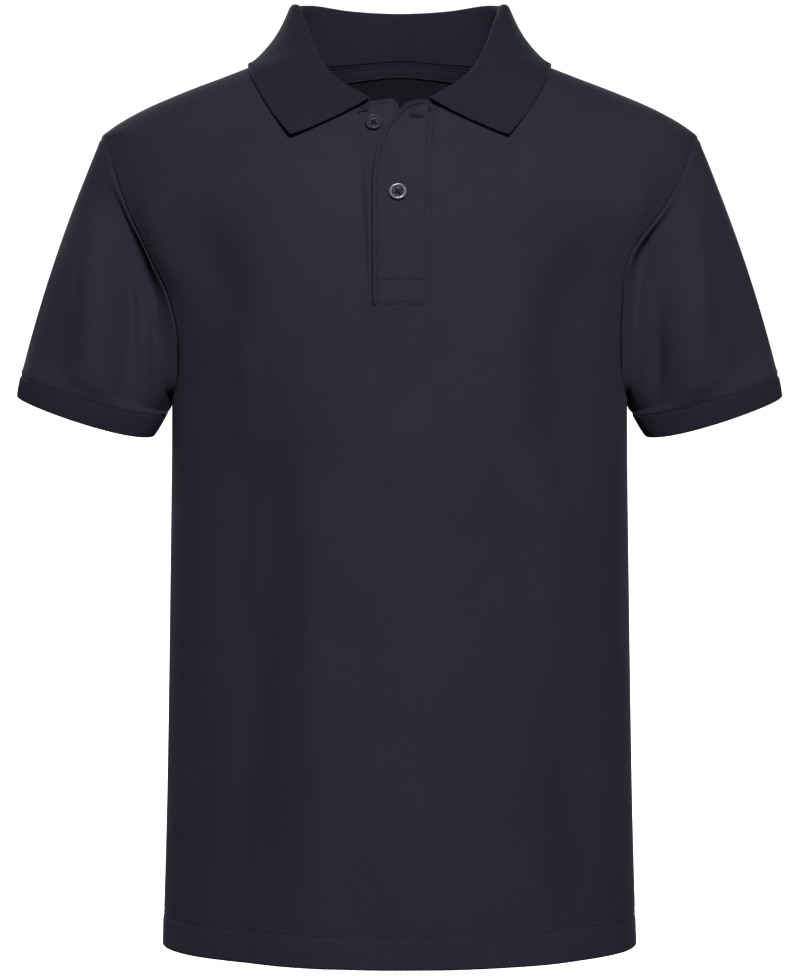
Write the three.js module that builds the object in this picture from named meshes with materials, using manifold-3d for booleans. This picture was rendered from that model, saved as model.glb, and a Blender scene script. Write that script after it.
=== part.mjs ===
// Child's short-sleeved polo shirt in pique knit, filled out as it hangs on a wearer, in millimetres.
// +X points to the wearer's left, +Y to the back and +Z up. The origin is the middle of the neck
// opening, at the height where the shirt sits on the shoulders.
// Every piece is a wall of cloth: the front and back panels follow level sections of the torso,
// the sleeves run from the armhole seam to a rib cuff, and the collar is one strip folded over.

import * as THREE from "three";
import { mergeVertices } from "three/addons/utils/BufferGeometryUtils.js";
import Module from "manifold-3d";

const wasm = await Module();
wasm.setup();

// Cloth thicknesses and the gap left at every seam.
const PIQUE = 1.2;
const PLACKET_CLOTH = 1.6;
const RIB_KNIT = 1.8;
const TAPE_CLOTH = 0.8;
const SEAM_GAP = 0.3;

// Hem: a 20 mm turn-up, which doubles the wall on its inner side.
const HEM_LEVEL = -565;
const HEM_DEPTH = 20;
const HEM_CLOTH = 2.2;

// Level sections of the torso, from hem to neck: half the width from side to side, and how far
// the front and the back stand out from the side seams. Above the armhole's top the half width
// is the shoulder line.
const TORSO_SECTIONS = [
  { z: -565, halfWidth: 154, front: 107, back: 97 },
  { z: -470, halfWidth: 151.4, front: 106, back: 94 },
  { z: -341, halfWidth: 149.1, front: 104, back: 90 },
  { z: -215, halfWidth: 147.5, front: 106, back: 97 },
  { z: -175, halfWidth: 152.5, front: 105.5, back: 100 },
  { z: -143, halfWidth: 162.5, front: 103, back: 101 },
  { z: -116, halfWidth: 176, front: 99, back: 99 },
  { z: -87, halfWidth: 190, front: 92, back: 94 },
  { z: -60, halfWidth: 195, front: 80, back: 85 },
  { z: -42, halfWidth: 194, front: 70, back: 76 },
  { z: -36, halfWidth: 187.6, front: 67, back: 73 },
  { z: -24, halfWidth: 167.4, front: 61.5, back: 68 },
  { z: -12.4, halfWidth: 140.8, front: 55.5, back: 63 },
  { z: -0.7, halfWidth: 110, front: 49, back: 58.5 },
  { z: 5, halfWidth: 95.4, front: 46, back: 56 },
  { z: 10.5, halfWidth: 81, front: 43.5, back: 53.8 },
  { z: 16, halfWidth: 70, front: 41, back: 51.8 },
];

// Armhole: a loop from the shoulder point to the underarm, reaching furthest from the side
// line at half height. The smaller the power, the squarer its ends.
const ARMHOLE_TOP = -42;
const ARMHOLE_BOTTOM = -208;
const ARMHOLE_REACH = THREE.MathUtils.degToRad(24);
const ARMHOLE_POWER = 0.55;
// The cloth is pulled further in at the front of the wearer's left armhole.
const ARMHOLE_TUCK = { turn: THREE.MathUtils.degToRad(8), z: -118, reach: 38 };

// Neck seam in plan: two half ellipses, front and back, about a point just behind the origin.
const NECK_HALF_WIDTH = 82;
const NECK_MIDDLE_Y = 5;
const NECK_FRONT = 72;
const NECK_BACK = 47;

// Sleeve end and cuff edge: their outer and inner corners as seen from the front, half their
// depth front to back, and how far the front hangs below the middle.
const SLEEVE_END = { outerX: 246.2, outerZ: -195, innerX: 151.4, innerZ: -219.5, depth: 38.2, dip: 5.8 };
const CUFF_EDGE = { outerX: 248.6, outerZ: -209.3, innerX: 160, innerZ: -233.8, depth: 36.5, dip: 5.4 };
const SLEEVE_BOW = 2.6;

// Placket: the lines of its strips at each height, from its foot to the neck. Below the second
// button the strips lie closed; above it the neck is open and they part.
const PLACKET_FOOT = -156;
const PLACKET_LINES = [
  { z: -160, panelLeft: -18, overLeft: -16.2, underRight: 13, panelRight: 15.6 },
  { z: -120, panelLeft: -18, overLeft: -16.5, underRight: 13, panelRight: 15.6 },
  { z: -76, panelLeft: -18.3, overLeft: -16.5, underRight: 12, panelRight: 15.8 },
  { z: -60, panelLeft: -21, overLeft: -14.3, underRight: 9.5, panelRight: 16.4 },
  { z: -46, panelLeft: -24, overLeft: -8.6, underRight: 6, panelRight: 17.4 },
  { z: -34, panelLeft: -26, overLeft: 1.3, underRight: 2.4, panelRight: 18 },
  { z: -28, panelLeft: -27, overLeft: 8, underRight: -0.6, panelRight: 18.2 },
  { z: -24, panelLeft: -27.5, overLeft: 12.5, underRight: -4, panelRight: 18.2 },
  { z: -20, panelLeft: -28, overLeft: 14, underRight: -6, panelRight: 18.2 },
];
const OVER_TOP = -24.6;
const UNDER_TOP = -23;
const UNDER_TOP_AT_COLLAR = -34.5;
const OVER_PROUD = 0.6;
const UNDER_SUNK = 1.9;
const OVER_CURL = 6;

// Buttons: four-hole, 11 mm across, at their places on the placket.
const BUTTON = { radius: 5.5, height: 2.4, rim: 1.5, dish: 0.6, holeRadius: 0.75, holeSpread: 1.45 };
const BUTTON_PLACES = {
  button_top: { x: -16.3, z: -37.9, out: -UNDER_SUNK + 2 * SEAM_GAP },
  button_second: { x: -1.1, z: -84.2, out: OVER_PROUD + 2 * SEAM_GAP },
};

// Collar: stations along half of it, from its front end to the middle of the back, with the
// line where it folds over and the outer edge of its leaf.
const COLLAR_STATIONS = [
  { foldX: 20.8, foldY: -64, foldZ: -24.3, edgeX: 68.3, edgeY: -73, edgeZ: -47.7 },
  { foldX: 31, foldY: -58, foldZ: -17.5, edgeX: 73, edgeY: -66, edgeZ: -39 },
  { foldX: 42, foldY: -50.5, foldZ: -9.5, edgeX: 78, edgeY: -58, edgeZ: -30 },
  { foldX: 51.5, foldY: -40, foldZ: 2, edgeX: 83.5, edgeY: -47, edgeZ: -20 },
  { foldX: 58.8, foldY: -26.5, foldZ: 17.5, edgeX: 89, edgeY: -32, edgeZ: -9 },
  { foldX: 64.5, foldY: -11, foldZ: 34, edgeX: 94, edgeY: -14, edgeZ: 1 },
  { foldX: 68, foldY: 5, foldZ: 46, edgeX: 96.3, edgeY: 5, edgeZ: 5 },
  { foldX: 66.5, foldY: 21, foldZ: 48.3, edgeX: 93.5, edgeY: 26, edgeZ: 5 },
  { foldX: 56, foldY: 35, foldZ: 49.2, edgeX: 81, edgeY: 46, edgeZ: 4.5 },
  { foldX: 33, foldY: 45, foldZ: 49.2, edgeX: 47.5, edgeY: 60, edgeZ: 5 },
  { foldX: 0, foldY: 48.5, foldZ: 47.2, edgeX: 0, edgeY: 65, edgeZ: 6 },
];
const COLLAR_FOLD_RADIUS = 2.3;
const COLLAR_SEAM_RISE = 1.1;
const LEAF_SAG = 3.5;
const LEAF_CLEARANCE = RIB_KNIT + 1;

// Neck tape, on the inside of the back neck.
const TAPE_HEIGHT = 8;

// Folds of the body, as seen from the front: a ridge stands out and a trough sinks in.
const FRONT = -1;
const BACK = 1;
const BODY_FOLDS = [
  { face: FRONT, fromX: -160, fromZ: -92, toX: -139, toZ: -142, width: 9, height: 3 },
  { face: FRONT, fromX: -134, fromZ: -98, toX: -99, toZ: -176, width: 16, height: -4.5 },
  { face: FRONT, fromX: -106, fromZ: -172, toX: -104, toZ: -262, width: 11, height: 1.8 },
  { face: FRONT, fromX: -69, fromZ: -250, toX: -66, toZ: -560, width: 15, height: -3 },
  { face: FRONT, fromX: -47, fromZ: -235, toX: -48, toZ: -545, width: 12, height: 1 },
  { face: FRONT, fromX: 132, fromZ: -108, toX: 97, toZ: -150, width: 14, height: -4 },
  { face: FRONT, fromX: 97, fromZ: -150, toX: 92, toZ: -186, width: 13, height: -2.5 },
  { face: FRONT, fromX: 91, fromZ: -190, toX: 111, toZ: -250, width: 10, height: 2.2 },
  { face: FRONT, fromX: 65, fromZ: -248, toX: 82, toZ: -318, width: 13, height: -3 },
  { face: FRONT, fromX: 82, fromZ: -318, toX: 118, toZ: -425, width: 14, height: -3.2 },
  { face: FRONT, fromX: 100, fromZ: -255, toX: 117, toZ: -340, width: 11, height: 2 },
  { face: FRONT, fromX: -20, fromZ: -158, toX: -16, toZ: -186, width: 5, height: -1 },
  { face: BACK, fromX: -140, fromZ: -120, toX: -92, toZ: -196, width: 17, height: -5 },
  { face: BACK, fromX: 138, fromZ: -112, toX: 88, toZ: -205, width: 16, height: -4.5 },
  { face: BACK, fromX: -84, fromZ: -215, toX: -72, toZ: -470, width: 20, height: -4 },
  { face: BACK, fromX: 70, fromZ: -240, toX: 86, toZ: -540, width: 18, height: -4.5 },
  { face: BACK, fromX: -22, fromZ: -130, toX: -8, toZ: -360, width: 24, height: -2.5 },
  { face: BACK, fromX: 28, fromZ: -300, toX: 20, toZ: -560, width: 18, height: 2 },
];

// Folds of the sleeves, as seen from the front: the first group on the wearer's right sleeve.
const SLEEVE_FOLDS = [
  { face: FRONT, fromX: -181, fromZ: -82, toX: -152, toZ: -152, width: 8, height: -3 },
  { face: FRONT, fromX: -196, fromZ: -86, toX: -186, toZ: -172, width: 13, height: 3 },
  { face: FRONT, fromX: -174, fromZ: -163, toX: -162, toZ: -204, width: 8, height: -4 },
  { face: FRONT, fromX: 195, fromZ: -90, toX: 204, toZ: -168, width: 13, height: 3 },
  { face: FRONT, fromX: 175, fromZ: -122, toX: 167, toZ: -198, width: 8, height: -4 },
  { face: FRONT, fromX: 163, fromZ: -108, toX: 150, toZ: -152, width: 7, height: -2.5 },
  { face: FRONT, fromX: 220, fromZ: -148, toX: 207, toZ: -188, width: 8, height: -2 },
  { face: BACK, fromX: -180, fromZ: -88, toX: -160, toZ: -176, width: 11, height: -4 },
  { face: BACK, fromX: -212, fromZ: -120, toX: -196, toZ: -196, width: 11, height: -3 },
  { face: BACK, fromX: 182, fromZ: -92, toX: 164, toZ: -186, width: 11, height: -4.5 },
  { face: BACK, fromX: 208, fromZ: -128, toX: 200, toZ: -200, width: 12, height: -2.5 },
];

// How finely the pieces are divided.
const ARMHOLE_STEPS = 13;
const PANEL_SIDE_STEPS = 12;
const PANEL_CENTRE_STEPS = 4;
const BACK_STEPS = 24;
const SLEEVE_STEPS = 9;
const COLLAR_STEPS = 34;
const BODY_ROW_LEVELS = 13;

const QUARTER_TURN = Math.PI / 2;
const UP = new THREE.Vector3(0, 0, 1);

// A smooth curve through one column of a table, keyed by another, that never overshoots a row.
function columnCurve(table, key, column) {
  const at = table.map((row) => row[key]);
  const value = table.map((row) => row[column]);
  const last = at.length - 1;
  const chord = at.slice(1).map((x, i) => (value[i + 1] - value[i]) / (x - at[i]));
  const slope = at.map((_, i) => {
    if (i === 0) return chord[0];
    if (i === last) return chord[last - 1];
    if (chord[i - 1] * chord[i] <= 0) return 0;
    return (2 * chord[i - 1] * chord[i]) / (chord[i - 1] + chord[i]);
  });
  return (x) => {
    const inside = THREE.MathUtils.clamp(x, at[0], at[last]);
    let i = 0;
    while (i < last - 1 && inside > at[i + 1]) i += 1;
    const span = at[i + 1] - at[i];
    const t = (inside - at[i]) / span;
    const rise = t * t * (3 - 2 * t);
    const start = value[i] * (1 - rise) + value[i + 1] * rise;
    return start + span * t * (1 - t) * (slope[i] * (1 - t) - slope[i + 1] * t);
  };
}

// The value between low and high at which a rising function passes zero.
function crossing(rising, low, high) {
  let a = low;
  let b = high;
  for (let step = 0; step < 50; step += 1) {
    const middle = (a + b) / 2;
    if (rising(middle) < 0) a = middle;
    else b = middle;
  }
  return (a + b) / 2;
}

const torsoHalfWidth = columnCurve(TORSO_SECTIONS, "z", "halfWidth");
const torsoFront = columnCurve(TORSO_SECTIONS, "z", "front");
const torsoBack = columnCurve(TORSO_SECTIONS, "z", "back");
const torsoDepth = (z, face) => (face === FRONT ? torsoFront(z) : torsoBack(z));

// A point of the smooth torso: turn runs from 0 at the middle to a quarter turn at the side.
function bareTorso(turn, z, face) {
  const x = torsoHalfWidth(z) * Math.sin(turn);
  const y = face * torsoDepth(z, face) * Math.cos(turn);
  return new THREE.Vector3(x, y, z);
}

function torsoNormal(turn, z, face) {
  const small = 0.01;
  const across = bareTorso(turn + small, z, face).sub(bareTorso(turn - small, z, face));
  const rise = bareTorso(turn, z + small, face).sub(bareTorso(turn, z - small, face));
  return across.cross(rise).multiplyScalar(-face).normalize();
}

// How far the folds of a table lift the cloth at a place seen from the front.
function foldHeight(table, face, x, z) {
  let height = 0;
  for (const fold of table) {
    if (fold.face !== face) continue;
    const runX = fold.toX - fold.fromX;
    const runZ = fold.toZ - fold.fromZ;
    const along = ((x - fold.fromX) * runX + (z - fold.fromZ) * runZ) / (runX ** 2 + runZ ** 2);
    const held = THREE.MathUtils.clamp(along, 0, 1);
    const away = Math.hypot(x - fold.fromX - held * runX, z - fold.fromZ - held * runZ);
    const swell = 0.35 + 0.65 * Math.sin(Math.PI * held);
    height += fold.height * swell * Math.exp(-((away / fold.width) ** 2));
  }
  return height;
}

// A point of the cloth over the torso, moved out from it. Folds fade out at the side seams.
function torsoPoint(turn, z, face, out = 0) {
  const point = bareTorso(turn, z, face);
  const fade = THREE.MathUtils.smoothstep(Math.cos(turn), 0, 0.35);
  const lift = out + fade * foldHeight(BODY_FOLDS, face, point.x, z);
  return point.addScaledVector(torsoNormal(turn, z, face), lift);
}

const turnAt = (x, z) => Math.asin(THREE.MathUtils.clamp(x / torsoHalfWidth(z), -1, 1));
const frontPoint = (x, z, out) => torsoPoint(turnAt(x, z), z, FRONT, out);

// How far a point is outside the smooth torso, and the way out, from the section it lies on.
function outsideTorso(point) {
  const level = (p) => {
    const width = torsoHalfWidth(p.z);
    const depth = torsoDepth(p.z, p.y < 0 ? FRONT : BACK);
    return Math.hypot(p.x / width, p.y / depth) - 1;
  };
  const small = 0.05;
  const slope = new THREE.Vector3();
  for (const axis of ["x", "y", "z"]) {
    const ahead = point.clone();
    const behind = point.clone();
    ahead[axis] += small;
    behind[axis] -= small;
    slope[axis] = (level(ahead) - level(behind)) / (2 * small);
  }
  return { distance: level(point) / slope.length(), way: slope.normalize() };
}

function keepOutside(point, clearance) {
  for (let step = 0; step < 4; step += 1) {
    const { distance, way } = outsideTorso(point);
    if (distance < clearance) point.addScaledVector(way, clearance - distance);
  }
  return point;
}

// A closed wall of cloth from rows of points on its outer face. faceSign is 1 where the normal
// of (along a row) x (row to row) points out of the cloth's outer face.
function clothWall(rows, { thickness, faceSign, closed = false, keep = () => true, seam = (n) => n }) {
  const rowCount = rows.length;
  const columnCount = rows[0].length;
  const cells = [];
  for (let j = 0; j < rowCount - 1; j += 1) {
    for (let i = 0; i < columnCount - (closed ? 0 : 1); i += 1) {
      if (keep(i, j)) cells.push([i, j, (i + 1) % columnCount, j + 1]);
    }
  }
  const index = (i, j) => j * columnCount + i;
  const normals = rows.flat().map(() => new THREE.Vector3());
  for (const [i, j, right, above] of cells) {
    const along = rows[j][right].clone().sub(rows[j][i]).add(rows[above][right]).sub(rows[above][i]);
    const up = rows[above][i].clone().sub(rows[j][i]).add(rows[above][right]).sub(rows[j][right]);
    const normal = along.cross(up).multiplyScalar(faceSign);
    for (const corner of [index(i, j), index(right, j), index(right, above), index(i, above)]) {
      normals[corner].add(normal);
    }
  }
  const outer = rows.flat();
  const inner = outer.map((point, n) => {
    const [i, j] = [n % columnCount, Math.floor(n / columnCount)];
    const normal = seam(normals[n].clone().normalize(), i, j).normalize();
    return point.clone().addScaledVector(normal, -thickness(i, j));
  });
  const positions = [];
  const quad = (a, b, c, d) => {
    for (const corner of [a, b, c, a, c, d]) positions.push(corner.x, corner.y, corner.z);
  };
  const edges = new Map();
  for (const [i, j, right, above] of cells) {
    const ring = [index(i, j), index(right, j), index(right, above), index(i, above)];
    if (faceSign < 0) ring.reverse();
    quad(...ring.map((n) => outer[n]));
    quad(...[...ring].reverse().map((n) => inner[n]));
    ring.forEach((from, k) => {
      const to = ring[(k + 1) % 4];
      if (!edges.delete(`${to},${from}`)) edges.set(`${from},${to}`, [from, to]);
    });
  }
  for (const [from, to] of edges.values()) quad(outer[to], outer[from], inner[from], inner[to]);
  const geometry = new THREE.BufferGeometry();
  geometry.setAttribute("position", new THREE.Float32BufferAttribute(positions, 3));
  geometry.computeVertexNormals();
  return geometry;
}

const NAVY_PIQUE = { color: 0x2b2b38, roughness: 0.95, metalness: 0 };
const NAVY_RIB = { color: 0x252531, roughness: 0.95, metalness: 0 };
const NAVY_BUTTON = { color: 0x20202b, roughness: 0.25, metalness: 0 };

const shirt = new THREE.Group();

function addPiece(name, geometry, finish, tint = 0) {
  const material = new THREE.MeshStandardMaterial(finish);
  material.color.offsetHSL(0, 0, tint);
  const mesh = new THREE.Mesh(geometry, material);
  mesh.name = name;
  shirt.add(mesh);
  return mesh;
}

// Armhole seam: swing runs from 0 at the shoulder point, down the front, through half a turn
// at the underarm, and up the back.
function armholeLevel(swing) {
  const middle = (ARMHOLE_TOP + ARMHOLE_BOTTOM) / 2;
  return middle + ((ARMHOLE_TOP - ARMHOLE_BOTTOM) / 2) * Math.cos(swing);
}
function armholeTurn(swing, tucked = false) {
  const turn = QUARTER_TURN - ARMHOLE_REACH * Math.abs(Math.sin(swing)) ** ARMHOLE_POWER;
  if (!tucked) return turn;
  const away = (armholeLevel(swing) - ARMHOLE_TUCK.z) / ARMHOLE_TUCK.reach;
  return turn - ARMHOLE_TUCK.turn * Math.sin(swing) ** 2 * Math.exp(-(away ** 2));
}
function armholePoint(side, swing) {
  const isFront = Math.sin(swing) > 0;
  const turn = armholeTurn(swing, isFront && side > 0);
  return torsoPoint(side * turn, armholeLevel(swing), isFront ? FRONT : BACK);
}

// Neck seam: the point of the torso over a place on its plan.
function neckPoint(swing) {
  const reach = Math.cos(swing) > 0 ? NECK_FRONT : NECK_BACK;
  const x = NECK_HALF_WIDTH * Math.sin(swing);
  const y = NECK_MIDDLE_Y - reach * Math.cos(swing);
  const depth = y < 0 ? torsoFront : torsoBack;
  const z = crossing((level) => Math.hypot(x / torsoHalfWidth(level), y / depth(level)) - 1, -42, 16);
  return new THREE.Vector3(x, y, z);
}

// Rows of the two panels, from the hem to the neck point, each with the turn of its outer edge.
const NECK_POINT_SWING = Math.acos(NECK_MIDDLE_Y / NECK_FRONT);
const NECK_POINT_LEVEL = neckPoint(NECK_POINT_SWING).z;
const COLLAR_END_SWING = Math.asin(20 / NECK_HALF_WIDTH);
const NECK_FOOT_LEVEL = neckPoint(COLLAR_END_SWING).z;
const SHOULDER_LEVELS = [-37, NECK_FOOT_LEVEL, -28, -22, -15, -8, -2, 3, 7, NECK_POINT_LEVEL - 0.4];

const panelRows = [{ z: HEM_LEVEL, turn: QUARTER_TURN }];
for (let k = 0; k <= BODY_ROW_LEVELS; k += 1) {
  const z = THREE.MathUtils.lerp(HEM_LEVEL + HEM_DEPTH, ARMHOLE_BOTTOM, k / BODY_ROW_LEVELS);
  panelRows.push({ z, turn: QUARTER_TURN });
}
for (let k = ARMHOLE_STEPS - 1; k >= 0; k -= 1) {
  const swing = (Math.PI * k) / ARMHOLE_STEPS;
  const turns = { turn: armholeTurn(swing), frontLeftTurn: armholeTurn(swing, true) };
  panelRows.push({ z: armholeLevel(swing), ...turns, armhole: k > 0 });
}
for (const z of SHOULDER_LEVELS) panelRows.push({ z, turn: QUARTER_TURN });

const panelThickness = (i, j) => (j <= 1 ? HEM_CLOTH : PIQUE);

// An edge sewn to the other panel: half the seam gap is taken off, square to the seam.
function sewnEdge(point, face) {
  point.y += (face * SEAM_GAP) / 2;
  return point;
}
const flatAcross = (normal) => new THREE.Vector3(normal.x, 0, normal.z);

const placketLine = {};
for (const line of ["panelLeft", "overLeft", "underRight", "panelRight"]) {
  placketLine[line] = columnCurve(PLACKET_LINES, "z", line);
}

// Where the front panel's inner edge lies: the placket's opening, then the neck seam.
function innerTurn(side, z) {
  if (z <= NECK_FOOT_LEVEL + 0.01) {
    return turnAt(placketLine[side < 0 ? "panelLeft" : "panelRight"](z), z);
  }
  const swing = crossing((s) => neckPoint(s).z - z, COLLAR_END_SWING, NECK_POINT_SWING);
  return side * turnAt(neckPoint(swing).x, z);
}

function frontPanel() {
  const rows = panelRows.map(({ z, turn, frontLeftTurn = turn, armhole }) => {
    const point = (t) => torsoPoint(t, z, FRONT);
    const left = innerTurn(-1, z);
    const right = innerTurn(1, z);
    const row = [];
    for (let k = 0; k <= PANEL_SIDE_STEPS; k += 1) {
      row.push(point(THREE.MathUtils.lerp(-turn, left, k / PANEL_SIDE_STEPS)));
    }
    for (let k = 1; k < PANEL_CENTRE_STEPS; k += 1) {
      row.push(point(THREE.MathUtils.lerp(left, right, k / PANEL_CENTRE_STEPS)));
    }
    for (let k = 0; k <= PANEL_SIDE_STEPS; k += 1) {
      row.push(point(THREE.MathUtils.lerp(right, frontLeftTurn, k / PANEL_SIDE_STEPS)));
    }
    if (!armhole) [row[0], row.at(-1)].forEach((edge) => sewnEdge(edge, FRONT));
    return row;
  });
  const lastColumn = rows[0].length - 1;
  const centreStart = PANEL_SIDE_STEPS;
  const centreEnd = PANEL_SIDE_STEPS + PANEL_CENTRE_STEPS;
  const isSewn = (i, j) => (i === 0 || i === lastColumn) && !panelRows[j].armhole;
  return clothWall(rows, {
    thickness: panelThickness,
    faceSign: 1,
    keep: (i, j) => i < centreStart || i >= centreEnd || panelRows[j + 1].z < PLACKET_FOOT + 1,
    seam: (normal, i, j) => (isSewn(i, j) ? flatAcross(normal) : normal),
  });
}

function backPanel() {
  const rows = panelRows.map(({ z, turn, armhole }) => {
    const row = [];
    for (let k = 0; k <= BACK_STEPS; k += 1) {
      row.push(torsoPoint(THREE.MathUtils.lerp(-turn, turn, k / BACK_STEPS), z, BACK));
    }
    if (!armhole) [row[0], row.at(-1)].forEach((edge) => sewnEdge(edge, BACK));
    return row;
  });
  rows.push(neckRow());
  const isSewn = (i, j) => (i === 0 || i === BACK_STEPS) && !(panelRows[j] && panelRows[j].armhole);
  return clothWall(rows, {
    thickness: panelThickness,
    faceSign: -1,
    seam: (normal, i, j) => (isSewn(i, j) ? flatAcross(normal) : normal),
  });
}

// The back panel's top edge, along the neck seam from one neck point to the other.
function neckRow() {
  const row = [];
  for (let k = 0; k <= BACK_STEPS; k += 1) {
    const share = (2 * k) / BACK_STEPS - 1;
    const swing = THREE.MathUtils.lerp(Math.PI, NECK_POINT_SWING + 0.03, Math.abs(share));
    const point = neckPoint(swing);
    row.push(new THREE.Vector3(Math.sign(share) * point.x, point.y, point.z));
  }
  return row;
}

// A point of the ring at a sleeve's end or a cuff's edge.
function ringPoint(ring, side, swing) {
  const x = (ring.outerX + ring.innerX) / 2 + ((ring.outerX - ring.innerX) / 2) * Math.cos(swing);
  const z = (ring.outerZ + ring.innerZ) / 2 + ((ring.outerZ - ring.innerZ) / 2) * Math.cos(swing);
  const forward = Math.sin(swing);
  return new THREE.Vector3(side * x, -ring.depth * forward, z - ring.dip * forward);
}

function sleevePoint(side, swing, share) {
  const start = armholePoint(side, swing);
  const end = ringPoint(SLEEVE_END, side, swing);
  const run = end.clone().sub(start).normalize();
  start.addScaledVector(run, 2 * SEAM_GAP);
  start.x += side * SEAM_GAP * (1 - Math.cos(swing));
  const point = start.clone().lerp(end, share);
  const centre = ringPoint(SLEEVE_END, side, 0).lerp(ringPoint(SLEEVE_END, side, Math.PI), 0.5);
  const outward = end.sub(centre).normalize();
  const middle = 4 * share * (1 - share);
  const bow = SLEEVE_BOW * middle * (1 + Math.cos(swing) * 0.3) * (0.5 + 0.5 * Math.cos(swing / 2) ** 2);
  const face = Math.sin(swing) > 0 ? FRONT : BACK;
  const fade = THREE.MathUtils.smoothstep(middle, 0, 0.45) * Math.abs(Math.sin(swing)) ** 0.5;
  const lift = bow + fade * foldHeight(SLEEVE_FOLDS, face, point.x, point.z);
  return point.addScaledVector(outward, lift);
}

// A tube of cloth whose rows run from its top ring to its lower one.
function tube(side, rowPoint, steps, thickness) {
  const rows = [];
  for (let j = 0; j <= steps; j += 1) {
    const row = [];
    for (let k = 0; k < 2 * ARMHOLE_STEPS; k += 1) {
      row.push(rowPoint((Math.PI * k) / ARMHOLE_STEPS, j / steps));
    }
    rows.push(row);
  }
  return clothWall(rows, { thickness: () => thickness, faceSign: side, closed: true });
}

const sleeve = (side) => tube(side, (swing, share) => sleevePoint(side, swing, share), SLEEVE_STEPS, PIQUE);

function cuff(side) {
  const point = (swing, share) => {
    const top = ringPoint(SLEEVE_END, side, swing);
    const edge = ringPoint(CUFF_EDGE, side, swing);
    const run = edge.clone().sub(top).normalize();
    return top.addScaledVector(run, 1.5 * SEAM_GAP).lerp(edge, share);
  };
  return tube(side, point, 2, RIB_KNIT);
}

// Placket strips: columns from the left line to the right one, each rising from its foot to its
// own top, on the front panel's surface moved out.
function placketStrip({ left, right, foot, top, out, steps, rowsUp }) {
  const rows = [];
  for (let j = 0; j <= rowsUp; j += 1) {
    const row = [];
    for (let k = 0; k <= steps; k += 1) {
      const across = k / steps;
      const z = THREE.MathUtils.lerp(foot, top(across), j / rowsUp);
      const x = THREE.MathUtils.lerp(left(z), right(z), across);
      row.push(frontPoint(x, z, out(across, z)));
    }
    rows.push(row);
  }
  return clothWall(rows, { thickness: () => PLACKET_CLOTH, faceSign: 1 });
}

// The strip on top: its free edge lifts and rolls away where the neck is open.
function overPlacket() {
  const curl = (across, z) => {
    const open = THREE.MathUtils.smoothstep(z, -72, -26);
    return OVER_CURL * open * (1 - across) ** 2;
  };
  return placketStrip({
    left: placketLine.overLeft,
    right: (z) => placketLine.panelRight(z) - SEAM_GAP,
    foot: PLACKET_FOOT + SEAM_GAP,
    top: () => OVER_TOP,
    out: (across, z) => OVER_PROUD + curl(across, z),
    steps: 6,
    rowsUp: 18,
  });
}

// The strip beneath, with its raw edge behind the front panel.
function underPlacket() {
  const hiddenWidth = 4;
  const topAt = (across) =>
    THREE.MathUtils.lerp(UNDER_TOP_AT_COLLAR, UNDER_TOP, THREE.MathUtils.smoothstep(across, 0.46, 0.54));
  return placketStrip({
    left: (z) => placketLine.panelLeft(z) - hiddenWidth,
    right: placketLine.underRight,
    foot: PLACKET_FOOT - hiddenWidth,
    top: topAt,
    out: () => -UNDER_SUNK,
    steps: 9,
    rowsUp: 14,
  });
}

// Collar, as two smooth lines along it and a profile across it: up the stand, over the fold and
// down the leaf.
function collarLine(prefix) {
  const half = COLLAR_STATIONS.map(
    (s) => new THREE.Vector3(s[`${prefix}X`], s[`${prefix}Y`], s[`${prefix}Z`]),
  );
  const other = half.slice(0, -1).map((p) => new THREE.Vector3(-p.x, p.y, p.z));
  return new THREE.CatmullRomCurve3([...other, ...half.reverse()], false, "centripetal");
}

function collar() {
  const foldLine = collarLine("fold");
  const edgeLine = collarLine("edge");
  const rows = [];
  for (let k = 0; k <= COLLAR_STEPS; k += 1) {
    const share = k / COLLAR_STEPS;
    const fold = foldLine.getPoint(share);
    const edge = edgeLine.getPoint(share);
    const along = foldLine.getTangent(share);
    const outward = new THREE.Vector3(-along.y, along.x, 0).normalize();
    const centre = fold.clone().addScaledVector(UP, -COLLAR_FOLD_RADIUS);
    const standTop = centre.clone().addScaledVector(outward, -COLLAR_FOLD_RADIUS);
    const leafTop = centre.clone().addScaledVector(outward, COLLAR_FOLD_RADIUS);
    const neck = neckBelow(fold);
    const profile = [0, 0.33, 0.67].map((t) => neck.clone().lerp(standTop, t));
    for (const turn of [0, 0.25, 0.5, 0.75, 1]) {
      const angle = Math.PI * turn;
      const roll = outward.clone().multiplyScalar(-Math.cos(angle) * COLLAR_FOLD_RADIUS);
      profile.push(centre.clone().add(roll).addScaledVector(UP, Math.sin(angle) * COLLAR_FOLD_RADIUS));
    }
    for (const t of [0.15, 0.32, 0.5, 0.68, 0.84, 1]) {
      const point = leafTop.clone().lerp(edge, t);
      point.addScaledVector(outward, -LEAF_SAG * 4 * t * (1 - t));
      profile.push(keepOutside(point, LEAF_CLEARANCE));
    }
    rows.push(profile);
  }
  return clothWall(rows, {
    thickness: () => RIB_KNIT,
    faceSign: 1,
    seam: (normal, i) => (i === 0 ? new THREE.Vector3(normal.x, normal.y, 0) : normal),
  });
}

// The place on the neck seam, just above it, in the same direction from the neck's middle.
function neckBelow(fold) {
  const reach = fold.y < NECK_MIDDLE_Y ? NECK_FRONT : NECK_BACK;
  const swing = Math.atan2(Math.abs(fold.x) / NECK_HALF_WIDTH, (NECK_MIDDLE_Y - fold.y) / reach);
  const point = neckPoint(swing);
  return new THREE.Vector3(Math.sign(fold.x) * point.x, point.y, point.z + COLLAR_SEAM_RISE);
}

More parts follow.
